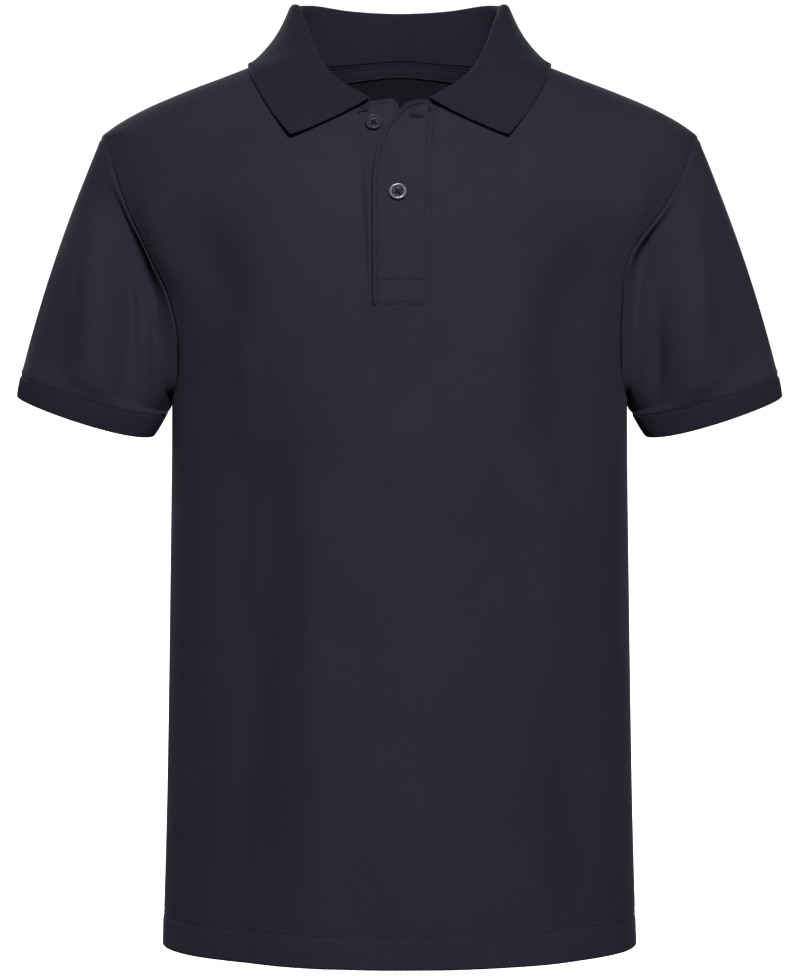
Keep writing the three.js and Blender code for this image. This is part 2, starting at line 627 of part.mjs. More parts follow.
// Neck tape: the back panel's inner face, moved in.
function neckTape() {
  const steps = 20;
  const top = neckRow();
  const rows = [0, 1].map((upper) => {
    const row = [];
    for (let k = 0; k <= steps; k += 1) {
      const share = THREE.MathUtils.lerp(-0.9, 0.9, k / steps);
      const place = ((share + 1) / 2) * BACK_STEPS;
      const i = Math.min(Math.floor(place), BACK_STEPS - 1);
      const point = top[i].clone().lerp(top[i + 1], place - i);
      const z = point.z - 1 - (upper ? 0 : TAPE_HEIGHT);
      row.push(torsoPoint(turnAt(point.x, z), z, BACK, -PIQUE - SEAM_GAP - 0.5));
    }
    return row;
  });
  return clothWall(rows, { thickness: () => TAPE_CLOTH, faceSign: -1 });
}

const toSolid = (geometry) => {
  const bare = geometry.clone();
  bare.deleteAttribute("normal");
  bare.deleteAttribute("uv");
  const merged = mergeVertices(bare, 1e-4);
  return new wasm.Manifold(
    new wasm.Mesh({
      numProp: 3,
      vertProperties: new Float32Array(merged.attributes.position.array),
      triVerts: new Uint32Array(merged.index.array),
    }),
  );
};

function fromSolid(solid) {
  const mesh = solid.getMesh();
  const geometry = new THREE.BufferGeometry();
  geometry.setAttribute("position", new THREE.BufferAttribute(mesh.vertProperties, 3));
  geometry.setIndex(new THREE.BufferAttribute(mesh.triVerts, 1));
  return geometry;
}

// Button: a turned disc with a raised rim, pierced by four holes, standing on Y.
function buttonGeometry() {
  const { radius, height, rim, dish, holeRadius, holeSpread } = BUTTON;
  const profile = [
    [0, 0],
    [radius - 0.9, 0],
    [radius, 0.8],
    [radius, height - 0.7],
    [radius - 0.5, height],
    [radius - rim, height],
    [radius - rim - 0.5, height - dish],
    [0, height - dish],
  ].map(([r, y]) => new THREE.Vector2(r, y));
  let solid = toSolid(new THREE.LatheGeometry(profile, 24));
  if (solid.volume() < 0) throw new Error("the button's profile runs the wrong way");
  for (let k = 0; k < 4; k += 1) {
    const angle = Math.PI / 4 + QUARTER_TURN * k;
    const hole = new THREE.CylinderGeometry(holeRadius, holeRadius, 3 * height, 8);
    hole.translate(holeSpread * Math.cos(angle), 0, holeSpread * Math.sin(angle));
    solid = solid.subtract(toSolid(hole));
  }
  return fromSolid(solid);
}

addPiece("front_panel", frontPanel(), NAVY_PIQUE);
addPiece("back_panel", backPanel(), NAVY_PIQUE, 0.02);
addPiece("placket_under", underPlacket(), NAVY_PIQUE, -0.02);
addPiece("placket_over", overPlacket(), NAVY_PIQUE, 0.01);
addPiece("sleeve_left", sleeve(1), NAVY_PIQUE);
addPiece("sleeve_right", sleeve(-1), NAVY_PIQUE);
addPiece("cuff_left", cuff(1), NAVY_RIB);
addPiece("cuff_right", cuff(-1), NAVY_RIB);
addPiece("collar", collar(), NAVY_RIB);
addPiece("neck_tape", neckTape(), NAVY_RIB, 0.03);

for (const [name, place] of Object.entries(BUTTON_PLACES)) {
  const button = addPiece(name, buttonGeometry(), NAVY_BUTTON);
  const outward = torsoNormal(turnAt(place.x, place.z), place.z, FRONT);
  button.position.copy(frontPoint(place.x, place.z, place.out));
  button.quaternion.setFromUnitVectors(new THREE.Vector3(0, 1, 0), outward);
}

export default shirt;
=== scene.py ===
"""Looks of a child's navy pique polo shirt, laid out as an add-on and run as a script.

Every piece is rebuilt as fine cloth over its plain solid, in the solid's own frame. The tables
below are in millimetres, +X to the wearer's left, +Y to the back and +Z up, and mesh_from()
turns them into metres.
"""

import math

import bpy
import numpy as np
from mathutils import Matrix, Vector


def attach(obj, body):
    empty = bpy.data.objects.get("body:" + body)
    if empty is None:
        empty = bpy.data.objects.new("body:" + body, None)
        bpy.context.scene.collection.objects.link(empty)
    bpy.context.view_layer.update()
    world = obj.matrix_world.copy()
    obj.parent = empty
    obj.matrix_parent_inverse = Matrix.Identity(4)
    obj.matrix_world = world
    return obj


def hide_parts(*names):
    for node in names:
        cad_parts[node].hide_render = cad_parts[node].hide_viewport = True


bl_info = {
    "name": "Polo Shirt",
    "version": (1, 0, 0),
    "blender": (4, 5, 0),
    "location": "3D View > Sidebar > Polo Shirt",
    "description": "Builds a filled-out pique polo shirt, piece by piece, with its stitching",
    "category": "Add Mesh",
}

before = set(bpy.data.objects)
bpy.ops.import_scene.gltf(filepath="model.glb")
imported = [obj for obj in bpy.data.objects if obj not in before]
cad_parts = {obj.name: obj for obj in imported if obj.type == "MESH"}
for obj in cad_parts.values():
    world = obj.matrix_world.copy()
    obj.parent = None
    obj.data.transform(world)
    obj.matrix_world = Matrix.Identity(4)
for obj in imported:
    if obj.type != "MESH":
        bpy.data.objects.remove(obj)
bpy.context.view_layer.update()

MM = 0.001
FRONT, BACK = -1, 1
QUARTER = math.pi / 2

# Form, in millimetres

HEM_LEVEL = -564.0
HEM_DEPTH = 20.0
TORSO_SECTIONS = [
    dict(z=-565, width=153.3, front=107, back=97),
    dict(z=-470, width=150.8, front=106, back=94),
    dict(z=-341, width=148.8, front=104, back=90),
    dict(z=-215, width=147.5, front=106, back=97),
    dict(z=-175, width=152.5, front=105.5, back=100),
    dict(z=-143, width=162.5, front=103, back=101),
    dict(z=-116, width=176, front=99, back=99),
    dict(z=-87, width=190, front=92, back=94),
    dict(z=-60, width=195, front=80, back=85),
    dict(z=-42, width=194, front=70, back=76),
    dict(z=-36, width=187.6, front=67, back=73),
    dict(z=-24, width=167.4, front=61.5, back=68),
    dict(z=-12.4, width=140.8, front=55.5, back=63),
    dict(z=-0.7, width=110, front=49, back=58.5),
    dict(z=5, width=95.4, front=46, back=56),
    dict(z=10.5, width=81, front=43.5, back=53.8),
    dict(z=16, width=70, front=41, back=51.8),
]

ARMHOLE_TOP = -42.0
ARMHOLE_BOTTOM = -208.0
ARMHOLE_MIDDLE = (ARMHOLE_TOP + ARMHOLE_BOTTOM) / 2
ARMHOLE_HALF = (ARMHOLE_TOP - ARMHOLE_BOTTOM) / 2
ARMHOLE_REACH = math.radians(24)
ARMHOLE_POWER = 0.55
# The panels take this many steps up each armhole, and the sleeves twice as many around it.
ARMHOLE_STEPS = 73
# The cloth is pulled further in at the front of the wearer's left armhole.
ARMHOLE_TUCK = dict(turn=math.radians(8), z=-118, reach=38)

NECK_HALF_WIDTH = 82.0
NECK_MIDDLE_Y = 5.0
NECK_FRONT = 72.0
NECK_BACK = 47.0
COLLAR_END_X = 20.0

SLEEVE_END = dict(outer=(245.9, -195), inner=(150.9, -220), depth=38.2, dip=5.8)
CUFF_EDGE = dict(outer=(248.4, -208.6), inner=(159.4, -234.4), depth=36.5, dip=5.4)
CUFF_SKEW = 0.25
SLEEVE_BOW = 2.6
# A cuff's half width and half depth, for the number of its ribs.
CUFF_RADII = (46, 37)
# How far a wall of cloth reaches past the seam that it shares with the next, to close it.
SEAM_REACH = 0.05

PLACKET_FOOT = -156.0
PLACKET_LINES = [
    dict(z=-160, panel_left=-18, over_left=-16.2, under_right=13, panel_right=15.6),
    dict(z=-120, panel_left=-18, over_left=-16.5, under_right=13, panel_right=15.6),
    dict(z=-76, panel_left=-18.3, over_left=-16.5, under_right=12, panel_right=15.8),
    dict(z=-60, panel_left=-21, over_left=-14.3, under_right=9.5, panel_right=16.4),
    dict(z=-46, panel_left=-24, over_left=-8.6, under_right=6, panel_right=17.4),
    dict(z=-34, panel_left=-26, over_left=1.3, under_right=2.4, panel_right=18),
    dict(z=-28, panel_left=-27, over_left=8.8, under_right=-0.6, panel_right=18.2),
    dict(z=-24, panel_left=-27.5, over_left=13.6, under_right=-2.9, panel_right=18.2),
    dict(z=-20, panel_left=-28, over_left=15, under_right=-5.5, panel_right=18.2),
]
OVER_TOP = -24.6
OVER_TOP_DROP = 5.2
UNDER_TOP = -22.3
UNDER_TOP_FALL = 3.4
OVER_PROUD = 0.7
UNDER_SUNK = 1.9
OVER_CURL = 6.0
PLACKET_HALF_WIDTH = 15.6
OVER_GAP = 0.25
OVER_FOOT = PLACKET_FOOT + OVER_GAP
OVER_WIDTH = 31.6
UNDER_WIDTH = 29.0
UNDER_HIDDEN = 4.0

# Rows of stitching: how far each lies from the edge that it follows, and how deep it sinks.
HEM_STITCHES = (19.2, 22.9)
PANEL_STITCH = 3.3
OVER_RIM_STITCH = 2.5
OVER_BOX = (1.1, 15.3)
UNDER_RIM_STITCH = 2.4
STITCH_SINK = -0.3

# The last number of each button is how much painted ring highlight it gets; the top button gets
# little, painted as lying in the collar's shade.
BUTTON_PLACES = {
    "button_top": dict(x=-16.3, z=-38.9, out=-UNDER_SUNK + 0.6, turn=12, painted_ring_highlight=0.04),
    "button_second": dict(x=-1.1, z=-85.5, out=OVER_PROUD + 0.5, turn=-8, painted_ring_highlight=1.0),
}
# A button's profile as shares of its radius and height, and its holes as shares of its radius.
BUTTON_PROFILE = [
    (0.72, 0), (0.86, 0.05), (0.95, 0.16), (1, 0.34), (1, 0.52), (0.975, 0.68), (0.93, 0.8),
    (0.87, 0.87), (0.80, 0.88), (0.74, 0.84), (0.69, 0.74), (0.65, 0.58), (0.61, 0.46),
    (0.54, 0.41), (0.3, 0.40),
]
BUTTON_HEIGHT = 2.7
HOLE_SPREAD = 0.265
HOLE_RADIUS = 0.135
# Each buttonhole's middle, half its length with and without its stitches, and its slant.
BUTTONHOLES = [
    dict(x=10.9, z=-36, half=4.6, slit=2.4, tilt=0.5),
    dict(x=-0.9, z=-85.5, half=5.3, slit=4.2, tilt=0.0),
]
BUTTONHOLE_HALF_DEPTH = 0.75
THREAD_RADIUS = 0.24

COLLAR_STATIONS = [
    dict(fold=(20.4, -64, -24.3), edge=(68.2, -73, -47.6)),
    dict(fold=(31, -58, -17.5), edge=(74.8, -66, -39)),
    dict(fold=(42, -50.5, -9.5), edge=(81.2, -57, -30)),
    dict(fold=(51.5, -40, 2), edge=(87.4, -45, -20)),
    dict(fold=(58.8, -26.5, 17.5), edge=(92.6, -31, -9.2)),
    dict(fold=(64.5, -11, 34), edge=(95.8, -14, 0.8)),
    dict(fold=(68, 5, 44.6), edge=(96.6, 5, 4.6)),
    dict(fold=(66.5, 21, 46.6), edge=(93.5, 26, 5)),
    dict(fold=(56, 35, 48.8), edge=(81, 46, 4.5)),
    dict(fold=(33, 45, 46.9), edge=(47.5, 60, 5)),
    dict(fold=(0, 48.5, 45.7), edge=(0, 65, 6)),
]
FOLD_RADIUS = 2.3
COLLAR_SEAM_RISE = 0.9
LEAF_SAG = 4.3
LEAF_CLEARANCE = 0.7
# At the collar's front ends the leaf lifts off the chest and droops, over so much of its length.
LEAF_LIFT = 1.5
LEAF_LIFT_REACH = 24
LEAF_DROOP = 1.6
LEAF_DROOP_REACH = 14
# The stand curves in by this much halfway up.
STAND_HOLLOW = 0.9
# Shares of the way up the stand, and down the leaf, at which the collar's profile has a point,
# and how many it has around the fold between them.
FOLD_STEPS = 9
STAND_STEPS = (0, 0.04, 0.12, 0.24, 0.4, 0.56, 0.72, 0.87)
LEAF_STEPS = np.array(
    [0.06, 0.13, 0.21, 0.3, 0.39, 0.48, 0.57, 0.66, 0.75, 0.83, 0.9, 0.95, 0.98, 1]
)

# A wall's edge stands out by this share of its thickness, and takes this share of the painted
# shading put on a cloth's inner face.
RIM_ROUNDNESS = 0.42
RIM_PAINTED_SHADING = 0.4
# A strip's first and last rows of points lie this far in from its edges.
EDGE_MARGIN = 0.4

TAPE_HEIGHT = 8.0
TAPE_DROP = 1.0
TAPE_FACE = 2.6
TAPE_ROWS = (1.2, 6.6)

# Each fold is a line through three places (x, z) as seen from the front, the widths of its flanks
# to the viewer's left and right of a line that runs down, and how far it stands out.
BODY_FOLDS = {
    FRONT: [
        ((-160, -88), (-152, -114), (-140, -142), (8, 11), 3.6),
        ((-138, -92), (-118, -128), (-99, -170), (14, 15), -2.2),
        ((-122, -104), (-116, -155), (-122, -220), (16, 19), -5.2),
        ((-97, -180), (-97, -210), (-101, -250), (9, 10), 2.2),
        ((-88, -236), (-100, -380), (-104, -590), (38, 27), -15),
        ((-58, -250), (-54, -400), (-52, -575), (8, 14), 2.2),
        ((-88, -262), (-95, -300), (-98, -345), (6, 8), 2.2),
        ((-110, -385), (-114, -425), (-118, -470), (8, 9), 1.6),
        ((-92, -440), (-95, -500), (-92, -560), (7, 8), 1.4),
        ((-138, -420), (-134, -480), (-142, -560), (9, 9), -2.4),
        ((153, -70), (151, -92), (140, -116), (9, 8), 2.6),
        ((126, -116), (104, -188), (128, -304), (20, 24), -10),
        ((80, -148), (72, -184), (90, -262), (14, 7), 1.4),
        ((58, -262), (74, -304), (92, -372), (11, 9), -4.2),
        ((84, -258), (96, -294), (108, -336), (9, 9), 2.8),
        ((106, -336), (114, -430), (124, -580), (28, 24), -7.5),
        ((84, -400), (90, -470), (96, -552), (10, 10), 1.1),
        ((128, -410), (131, -470), (127, -548), (8, 9), 1.3),
        ((36, -330), (34, -430), (40, -545), (18, 14), -0.9),
        ((-20, -158), (-20, -174), (-15, -198), (5, 7), -1.3),
        ((17, -158), (19, -171), (24, -190), (5, 5), -0.7),
        ((-26, -60), (-23, -108), (-19.5, -164), (12, 3.2), -3.2),
        ((-74, -52), (-92, -70), (-118, -80), (12, 12), 1.0),
        ((76, -54), (98, -72), (124, -84), (12, 12), 0.9),
    ],
    BACK: [
        ((-142, -112), (-118, -146), (-92, -198), (16, 18), -4.8),
        ((-150, -150), (-136, -178), (-128, -226), (9, 11), 2.0),
        ((138, -106), (116, -148), (88, -206), (15, 17), -4.4),
        ((148, -156), (126, -190), (122, -252), (10, 12), 2.1),
        ((-84, -214), (-72, -330), (-70, -472), (20, 14), -3.8),
        ((-58, -262), (-52, -350), (-60, -440), (8, 12), 1.6),
        ((70, -238), (76, -380), (88, -544), (16, 20), -4.2),
        ((96, -330), (106, -430), (104, -548), (10, 12), 1.8),
        ((-22, -128), (-16, -240), (-8, -362), (24, 20), -2.4),
        ((28, -298), (24, -430), (20, -556), (16, 20), 2.0),
        ((-112, -330), (-118, -440), (-110, -552), (12, 14), -2.2),
        ((52, -96), (44, -140), (34, -196), (14, 12), -1.3),
    ],
}
SLEEVE_FOLDS = {
    FRONT: [
        ((-199, -92), (-194, -150), (-196, -222), (17, 12), 8),
        ((-189, -84), (-174, -136), (-170, -216), (10, 9), -8),
        ((-170, -100), (-153, -152), (-147, -232), (25, 11), -12.5),
        ((-214, -92), (-227, -150), (-240, -208), (14, 25), -9),
        ((-185, -88), (-172, -128), (-159, -196), (4, 6), 3.0),
        ((-177, -84), (-161, -126), (-149, -178), (8, 6), -4.6),
        ((-222, -134), (-214, -162), (-216, -190), (8, 9), -1.2),
        ((-151, -122), (-146, -160), (-149, -224), (7, 5), -5),
        ((182, -88), (189, -142), (190, -218), (14, 14), 8.5),
        ((150, -116), (144, -152), (148, -218), (5, 7), -6),
        ((212, -92), (226, -150), (240, -206), (25, 14), -10),
        ((162, -104), (154, -152), (150, -226), (10, 22), -10),
        ((198, -100), (206, -136), (201, -176), (8, 8), -2.0),
        ((218, -142), (212, -172), (203, -208), (8, 9), 2.0),
        ((169, -146), (162, -180), (163, -214), (7, 7), -4.8),
        ((172, -84), (161, -114), (148, -152), (9, 8), -9),
        ((152, -160), (150, -184), (151, -210), (5, 4), 1.2),
    ],
    BACK: [
        ((-182, -84), (-168, -126), (-160, -178), (11, 10), -3.8),
        ((-213, -118), (-204, -156), (-196, -198), (10, 12), -2.8),
        ((-196, -100), (-188, -140), (-180, -190), (9, 9), 1.8),
        ((184, -88), (172, -136), (164, -188), (10, 11), -4.2),
        ((208, -126), (204, -162), (200, -202), (11, 12), -2.4),
        ((194, -104), (190, -144), (184, -186), (8, 9), 1.7),
    ],
}
# Each line of a fold is followed in straight parts, and the fold is lower at its two ends.
FOLD_PARTS = 8
FOLD_END_HEIGHT = 0.3
# Long, low swells that keep the cloth from lying dead smooth: (x waves, z waves, phase, size).
SWELLS = [
    (2.1, 1.4, 0.6, 0.30),
    (-3.7, 2.6, 2.1, 0.20),
    (5.9, 3.3, 4.0, 0.14),
    (-7.3, 6.1, 1.3, 0.10),
    (11.0, -8.4, 5.2, 0.06),
]
SWELL_SPAN = 60

# The camera stands level with the shirt's middle, in metres, and a pixel is this wide at it.
CAMERA_X = 0.00026
CAMERA_DISTANCE = 1.9
CAMERA_LEVEL = -0.2685
PIXEL_SIZE = 0.65 * MM
IMAGE_HEIGHT = 976


# Curves and surfaces


def smooth_curve(at, value):
    """A smooth curve through the values at rising places, which never overshoots one."""
    at, value = np.array(at, float), np.array(value, float)
    chord = np.diff(value) / np.diff(at)
    slope = np.zeros(len(at))
    slope[0], slope[-1] = chord[0], chord[-1]
    both = chord[:-1] * chord[1:]
    total = np.where(both > 0, chord[:-1] + chord[1:], 1.0)
    slope[1:-1] = np.where(both > 0, 2 * both / total, 0.0)

    def read(x):
        inside = np.clip(x, at[0], at[-1])
        i = np.clip(np.searchsorted(at, inside, side="right") - 1, 0, len(at) - 2)
        span = at[i + 1] - at[i]
        t = (inside - at[i]) / span
        rise = t * t * (3 - 2 * t)
        start = value[i] * (1 - rise) + value[i + 1] * rise
        return start + span * t * (1 - t) * (slope[i] * (1 - t) - slope[i + 1] * t)

    return read


def level_curve(table, column):
    """A smooth curve through one column of a table, by height."""
    return smooth_curve([row["z"] for row in table], [row[column] for row in table])


torso_width = level_curve(TORSO_SECTIONS, "width")
torso_front = level_curve(TORSO_SECTIONS, "front")
torso_back = level_curve(TORSO_SECTIONS, "back")
placket_line = {
    line: level_curve(PLACKET_LINES, line)
    for line in ("panel_left", "over_left", "under_right", "panel_right")
}


def smoothstep(x, low, high):
    t = np.clip((x - low) / (high - low), 0, 1)
    return t * t * (3 - 2 * t)


def bell(away, width):
    """1 on a line, fading out to both sides of it."""
    return np.exp(-((away / width) ** 2))


def running_total(steps):
    return np.concatenate([[0], np.cumsum(steps)])


def step_lengths(points):
    return np.linalg.norm(np.diff(points, axis=0), axis=1)


def unit(vectors):
    return vectors / np.maximum(np.linalg.norm(vectors, axis=-1, keepdims=True), 1e-12)


def crossing(rising, low, high, shape):
    """Where a rising function passes zero between two limits, for many places at once."""
    a = np.full(shape, float(low))
    b = np.full(shape, float(high))
    for _ in range(45):
        middle = (a + b) / 2
        below = rising(middle) < 0
        a = np.where(below, middle, a)
        b = np.where(below, b, middle)
    return (a + b) / 2


def torso_depth(z, face):
    return np.where(np.asarray(face) == FRONT, torso_front(z), torso_back(z))


def bare_torso(turn, z, face):
    turn, z, face = np.broadcast_arrays(turn, z, face)
    x = torso_width(z) * np.sin(turn)
    y = face * torso_depth(z, face) * np.cos(turn)
    return np.stack([x, y, z], axis=-1)


def torso_normal(turn, z, face):
    small = 0.01
    across = bare_torso(turn + small, z, face) - bare_torso(turn - small, z, face)
    rise = bare_torso(turn, z + small, face) - bare_torso(turn, z - small, face)
    return unit(np.cross(across, rise) * -np.asarray(face)[..., None])


def arc_through(a, b, c, t):
    """One coordinate of an arc that starts at a, passes b halfway and ends at c."""
    return (1 - t) ** 2 * a + 2 * t * (1 - t) * (2 * b - (a + c) / 2) + t * t * c


def one_fold(fold, x, z):
    """The height of one fold at places seen from the front."""
    (ax, az), (bx, bz), (cx, cz), (left, right), height = fold
    t = np.linspace(0, 1, FOLD_PARTS + 1)
    line_x, line_z = arc_through(ax, bx, cx, t), arc_through(az, bz, cz, t)
    shape = np.broadcast(x, z).shape
    near, flank, along = np.full(shape, np.inf), np.zeros(shape), np.zeros(shape)
    for k in range(FOLD_PARTS):
        run_x, run_z = line_x[k + 1] - line_x[k], line_z[k + 1] - line_z[k]
        off_x, off_z = x - line_x[k], z - line_z[k]
        held = np.clip((off_x * run_x + off_z * run_z) / (run_x**2 + run_z**2), 0, 1)
        away = (off_x - held * run_x) ** 2 + (off_z - held * run_z) ** 2
        closer = away < near
        near = np.where(closer, away, near)
        flank = np.where(closer, off_z * run_x - off_x * run_z, flank)
        along = np.where(closer, (k + held) / FOLD_PARTS, along)
    across = flank / (np.hypot(cx - ax, cz - az) / FOLD_PARTS)
    width = left + (right - left) * smoothstep(across, -3, 3)
    swell = FOLD_END_HEIGHT + (1 - FOLD_END_HEIGHT) * np.sin(np.pi * along) ** 0.8
    return height * swell * np.exp(-near / width**2)


def fold_lift(table, face, x, z):
    """How far a table's folds lift the cloth at places seen from the front."""
    lift = np.zeros(np.broadcast(x, z).shape)
    for side, folds in table.items():
        here = np.asarray(face) == side
        if not np.any(here):
            continue
        for fold in folds:
            lift += np.where(here, one_fold(fold, x, z), 0)
    return lift


def swells(x, z):
    return sum(
        height * np.sin(waves_x * x / SWELL_SPAN + waves_z * z / SWELL_SPAN + phase)
        for waves_x, waves_z, phase, height in SWELLS
    )


def torso_point(turn, z, face, out=0.0):
    """The cloth over the torso. Its folds fade out at the side seams."""
    turn, z, face = np.broadcast_arrays(turn, z, face)
    point = bare_torso(turn, z, face)
    fade = smoothstep(np.cos(turn), 0, 0.35) * sizes().fold_depth
    x = point[..., 0]
    lift = out + fade * (fold_lift(BODY_FOLDS, face, x, z) + swells(x, z))
    return point + torso_normal(turn, z, face) * lift[..., None]


def turn_at(x, z):
    return np.arcsin(np.clip(x / torso_width(z), -1, 1))


def front_point(x, z, out=0.0):
    return torso_point(turn_at(x, z), z, FRONT, out)


def keep_outside(points, clearance):
    """Points that would come nearer the smooth torso than the clearance are moved out to it."""

    def level(p):
        depth = torso_depth(p[..., 2], np.where(p[..., 1] < 0, FRONT, BACK))
        return np.hypot(p[..., 0] / torso_width(p[..., 2]), p[..., 1] / depth) - 1

    small = 0.05
    points = points.copy()
    for _ in range(4):
        slope = np.zeros(points.shape)
        for axis in range(3):
            step = np.zeros(3)
            step[axis] = small
            slope[..., axis] = (level(points + step) - level(points - step)) / (2 * small)
        size = np.linalg.norm(slope, axis=-1)
        short = np.maximum(clearance - level(points) / size, 0)
        points += slope / size[..., None] * short[..., None]
    return points


def armhole_level(swing):
    return ARMHOLE_MIDDLE + ARMHOLE_HALF * np.cos(swing)


def armhole_turn(swing, side=-1):
    """The turn of the seam, with the tuck at the front of the wearer's left side."""
    tuck = ARMHOLE_TUCK["turn"] * np.sin(swing) ** 2
    tuck = tuck * bell(armhole_level(swing) - ARMHOLE_TUCK["z"], ARMHOLE_TUCK["reach"])
    turn = QUARTER - ARMHOLE_REACH * np.abs(np.sin(swing)) ** ARMHOLE_POWER
    return np.where((side > 0) & (np.sin(swing) > 0), turn - tuck, turn)


def armhole_point(side, swing):
    face = np.where(np.sin(swing) > 0, FRONT, BACK)
    return torso_point(side * armhole_turn(swing, side), armhole_level(swing), face)


def neck_point(swing):
    """The neck seam, from the middle of the front (0) to the middle of the back (half a turn)."""
    swing = np.asarray(swing, float)
    reach = np.where(np.cos(swing) > 0, NECK_FRONT, NECK_BACK)
    x = NECK_HALF_WIDTH * np.sin(swing)
    y = NECK_MIDDLE_Y - reach * np.cos(swing)
    face = np.where(y < 0, FRONT, BACK)

    def outside(z):
        return np.hypot(x / torso_width(z), y / torso_depth(z, face)) - 1

    level = crossing(outside, ARMHOLE_TOP, TORSO_SECTIONS[-1]["z"], swing.shape)
    return np.stack([x, y, level], axis=-1)


COLLAR_END_SWING = math.asin(COLLAR_END_X / NECK_HALF_WIDTH)
NECK_POINT_SWING = math.acos(NECK_MIDDLE_Y / NECK_FRONT)
NECK_FOOT_LEVEL = float(neck_point(COLLAR_END_SWING)[2])
NECK_POINT_LEVEL = float(neck_point(NECK_POINT_SWING)[2])


def smooth_line(points, count):
    """Evenly spaced places on a smooth curve through points, where each lies along the curve's
    own measure, and the curve's length."""
    points = np.asarray(points, float)
    knots = running_total(step_lengths(points) ** 0.5)
    slope = np.gradient(points, knots, axis=0)

    def place(t):
        i = np.clip(np.searchsorted(knots, t, side="right") - 1, 0, len(knots) - 2)
        span = (knots[i + 1] - knots[i])[:, None]
        s = ((t - knots[i])[:, None]) / span
        return (
            (2 * s**3 - 3 * s**2 + 1) * points[i]
            + (s**3 - 2 * s**2 + s) * span * slope[i]
            + (3 * s**2 - 2 * s**3) * points[i + 1]
            + (s**3 - s**2) * span * slope[i + 1]
        )

    fine = np.linspace(0, knots[-1], 1500)
    length = running_total(step_lengths(place(fine)))
    even = np.interp(np.linspace(0, length[-1], count), length, fine)
    return place(even), even, length[-1]


def near_line(points, line, wide=8.0, batch=4000):
    """Distance from each point to the nearest place of a line of points, up to a limit."""
    low, high = line.min(0) - wide, line.max(0) + wide
    flat = points.reshape(-1, 3)
    distance = np.full(len(flat), wide)
    chosen = np.flatnonzero(np.all((flat > low) & (flat < high), axis=1))
    for start in range(0, len(chosen), batch):
        part = chosen[start : start + batch]
        away = flat[part][:, None, :] - line[None, :, :]
        distance[part] = np.minimum(np.sqrt((away**2).sum(-1)).min(1), wide)
    return distance.reshape(points.shape[:-1])


# Meshes


def grid_normals(rows, cells, flip):
    j, i, i_next = cells
    along = rows[j, i_next] - rows[j, i] + rows[j + 1, i_next] - rows[j + 1, i]
    up = rows[j + 1, i] - rows[j, i] + rows[j + 1, i_next] - rows[j, i_next]
    normal = np.cross(along, up) * (-1 if flip else 1)
    total = np.zeros(rows.shape)
    for corner in ((j, i), (j, i_next), (j + 1, i_next), (j + 1, i)):
        np.add.at(total, corner, normal)
    return unit(total)


def grid_cells(shape, closed=False, keep=None):
    row_count, column_count = shape
    j, i = np.meshgrid(
        np.arange(row_count - 1), np.arange(column_count - (0 if closed else 1)), indexing="ij"
    )
    j, i = j.ravel(), i.ravel()
    if keep is not None:
        chosen = keep(i, j)
        j, i = j[chosen], i[chosen]
    return j, i, (i + 1) % column_count


def quads(*corners):
    return np.stack(corners, axis=1)


def cloth_wall(rows, thickness, uv, flip=False, closed=False, keep=None, inner_normals=None):
    """A closed wall of cloth with rounded edges: rows of points on its outer face, moved in by
    its thickness for the inner one. uv is in millimetres, with one more column when closed."""
    rows = np.asarray(rows, float)
    row_count, column_count = rows.shape[:2]
    cells = grid_cells((row_count, column_count), closed, keep)
    j, i, i_next = cells
    normals = grid_normals(rows, cells, flip)
    if inner_normals is not None:
        normals = inner_normals(normals)
    thickness = np.broadcast_to(thickness, (row_count, column_count))
    outer = rows.reshape(-1, 3)
    inner = (rows - normals * thickness[..., None]).reshape(-1, 3)

    def cell_rings(width, right):
        low, high = j * width, (j + 1) * width
        rings = quads(low + i, low + right, high + right, high + i)
        return rings[:, ::-1] if flip else rings

    ring = cell_rings(column_count, i_next)
    uv_ring = cell_rings(column_count + (1 if closed else 0), i + 1)
    ring_next, uv_next = np.roll(ring, -1, axis=1), np.roll(uv_ring, -1, axis=1)
    count = row_count * column_count
    forward, backward = (ring * count + ring_next).ravel(), (ring_next * count + ring).ravel()
    open_edges = ~np.isin(forward, backward)
    edge_from, edge_to, uv_from, uv_to = (
        corner.ravel()[open_edges] for corner in (ring, ring_next, uv_ring, uv_next)
    )

    edge_way = outer[edge_to] - outer[edge_from]
    sideways = unit(np.cross(edge_way, normals.reshape(-1, 3)[edge_from]))
    outward = np.zeros((count, 3))
    np.add.at(outward, edge_from, sideways)
    np.add.at(outward, edge_to, sideways)
    roundness = RIM_ROUNDNESS * thickness.reshape(-1)
    middle = (outer + inner) / 2 + unit(outward) * roundness[:, None]

    used = np.zeros(count, bool)
    used[ring.ravel()] = True
    new = np.cumsum(used) - 1
    total = int(used.sum())
    rim = np.unique(np.concatenate([edge_from, edge_to]))
    rim_new = np.full(count, -1)
    rim_new[rim] = np.arange(len(rim)) + 2 * total
    points = np.concatenate([outer[used], inner[used], middle[rim]])
    faces = [
        new[ring],
        new[ring[:, ::-1]] + total,
        quads(new[edge_to], new[edge_from], rim_new[edge_from], rim_new[edge_to]),
        quads(rim_new[edge_to], rim_new[edge_from], new[edge_from] + total, new[edge_to] + total),
    ]
    rim_uv = quads(uv_to, uv_from, uv_from, uv_to)
    uv_faces = np.concatenate([uv_ring, uv_ring[:, ::-1], rim_uv, rim_uv])
    corner_uv = np.asarray(uv, float).reshape(-1, 2)[uv_faces]
    # Inner faces get the full painted shading and rims a share of it: the material paints shade
    # inside the shirt and light inside the collar with it.
    inner_face_painted_shading = np.repeat([0.0, 1.0, RIM_PAINTED_SHADING], [total, total, len(rim)])
    return points, np.concatenate(faces), corner_uv, inner_face_painted_shading


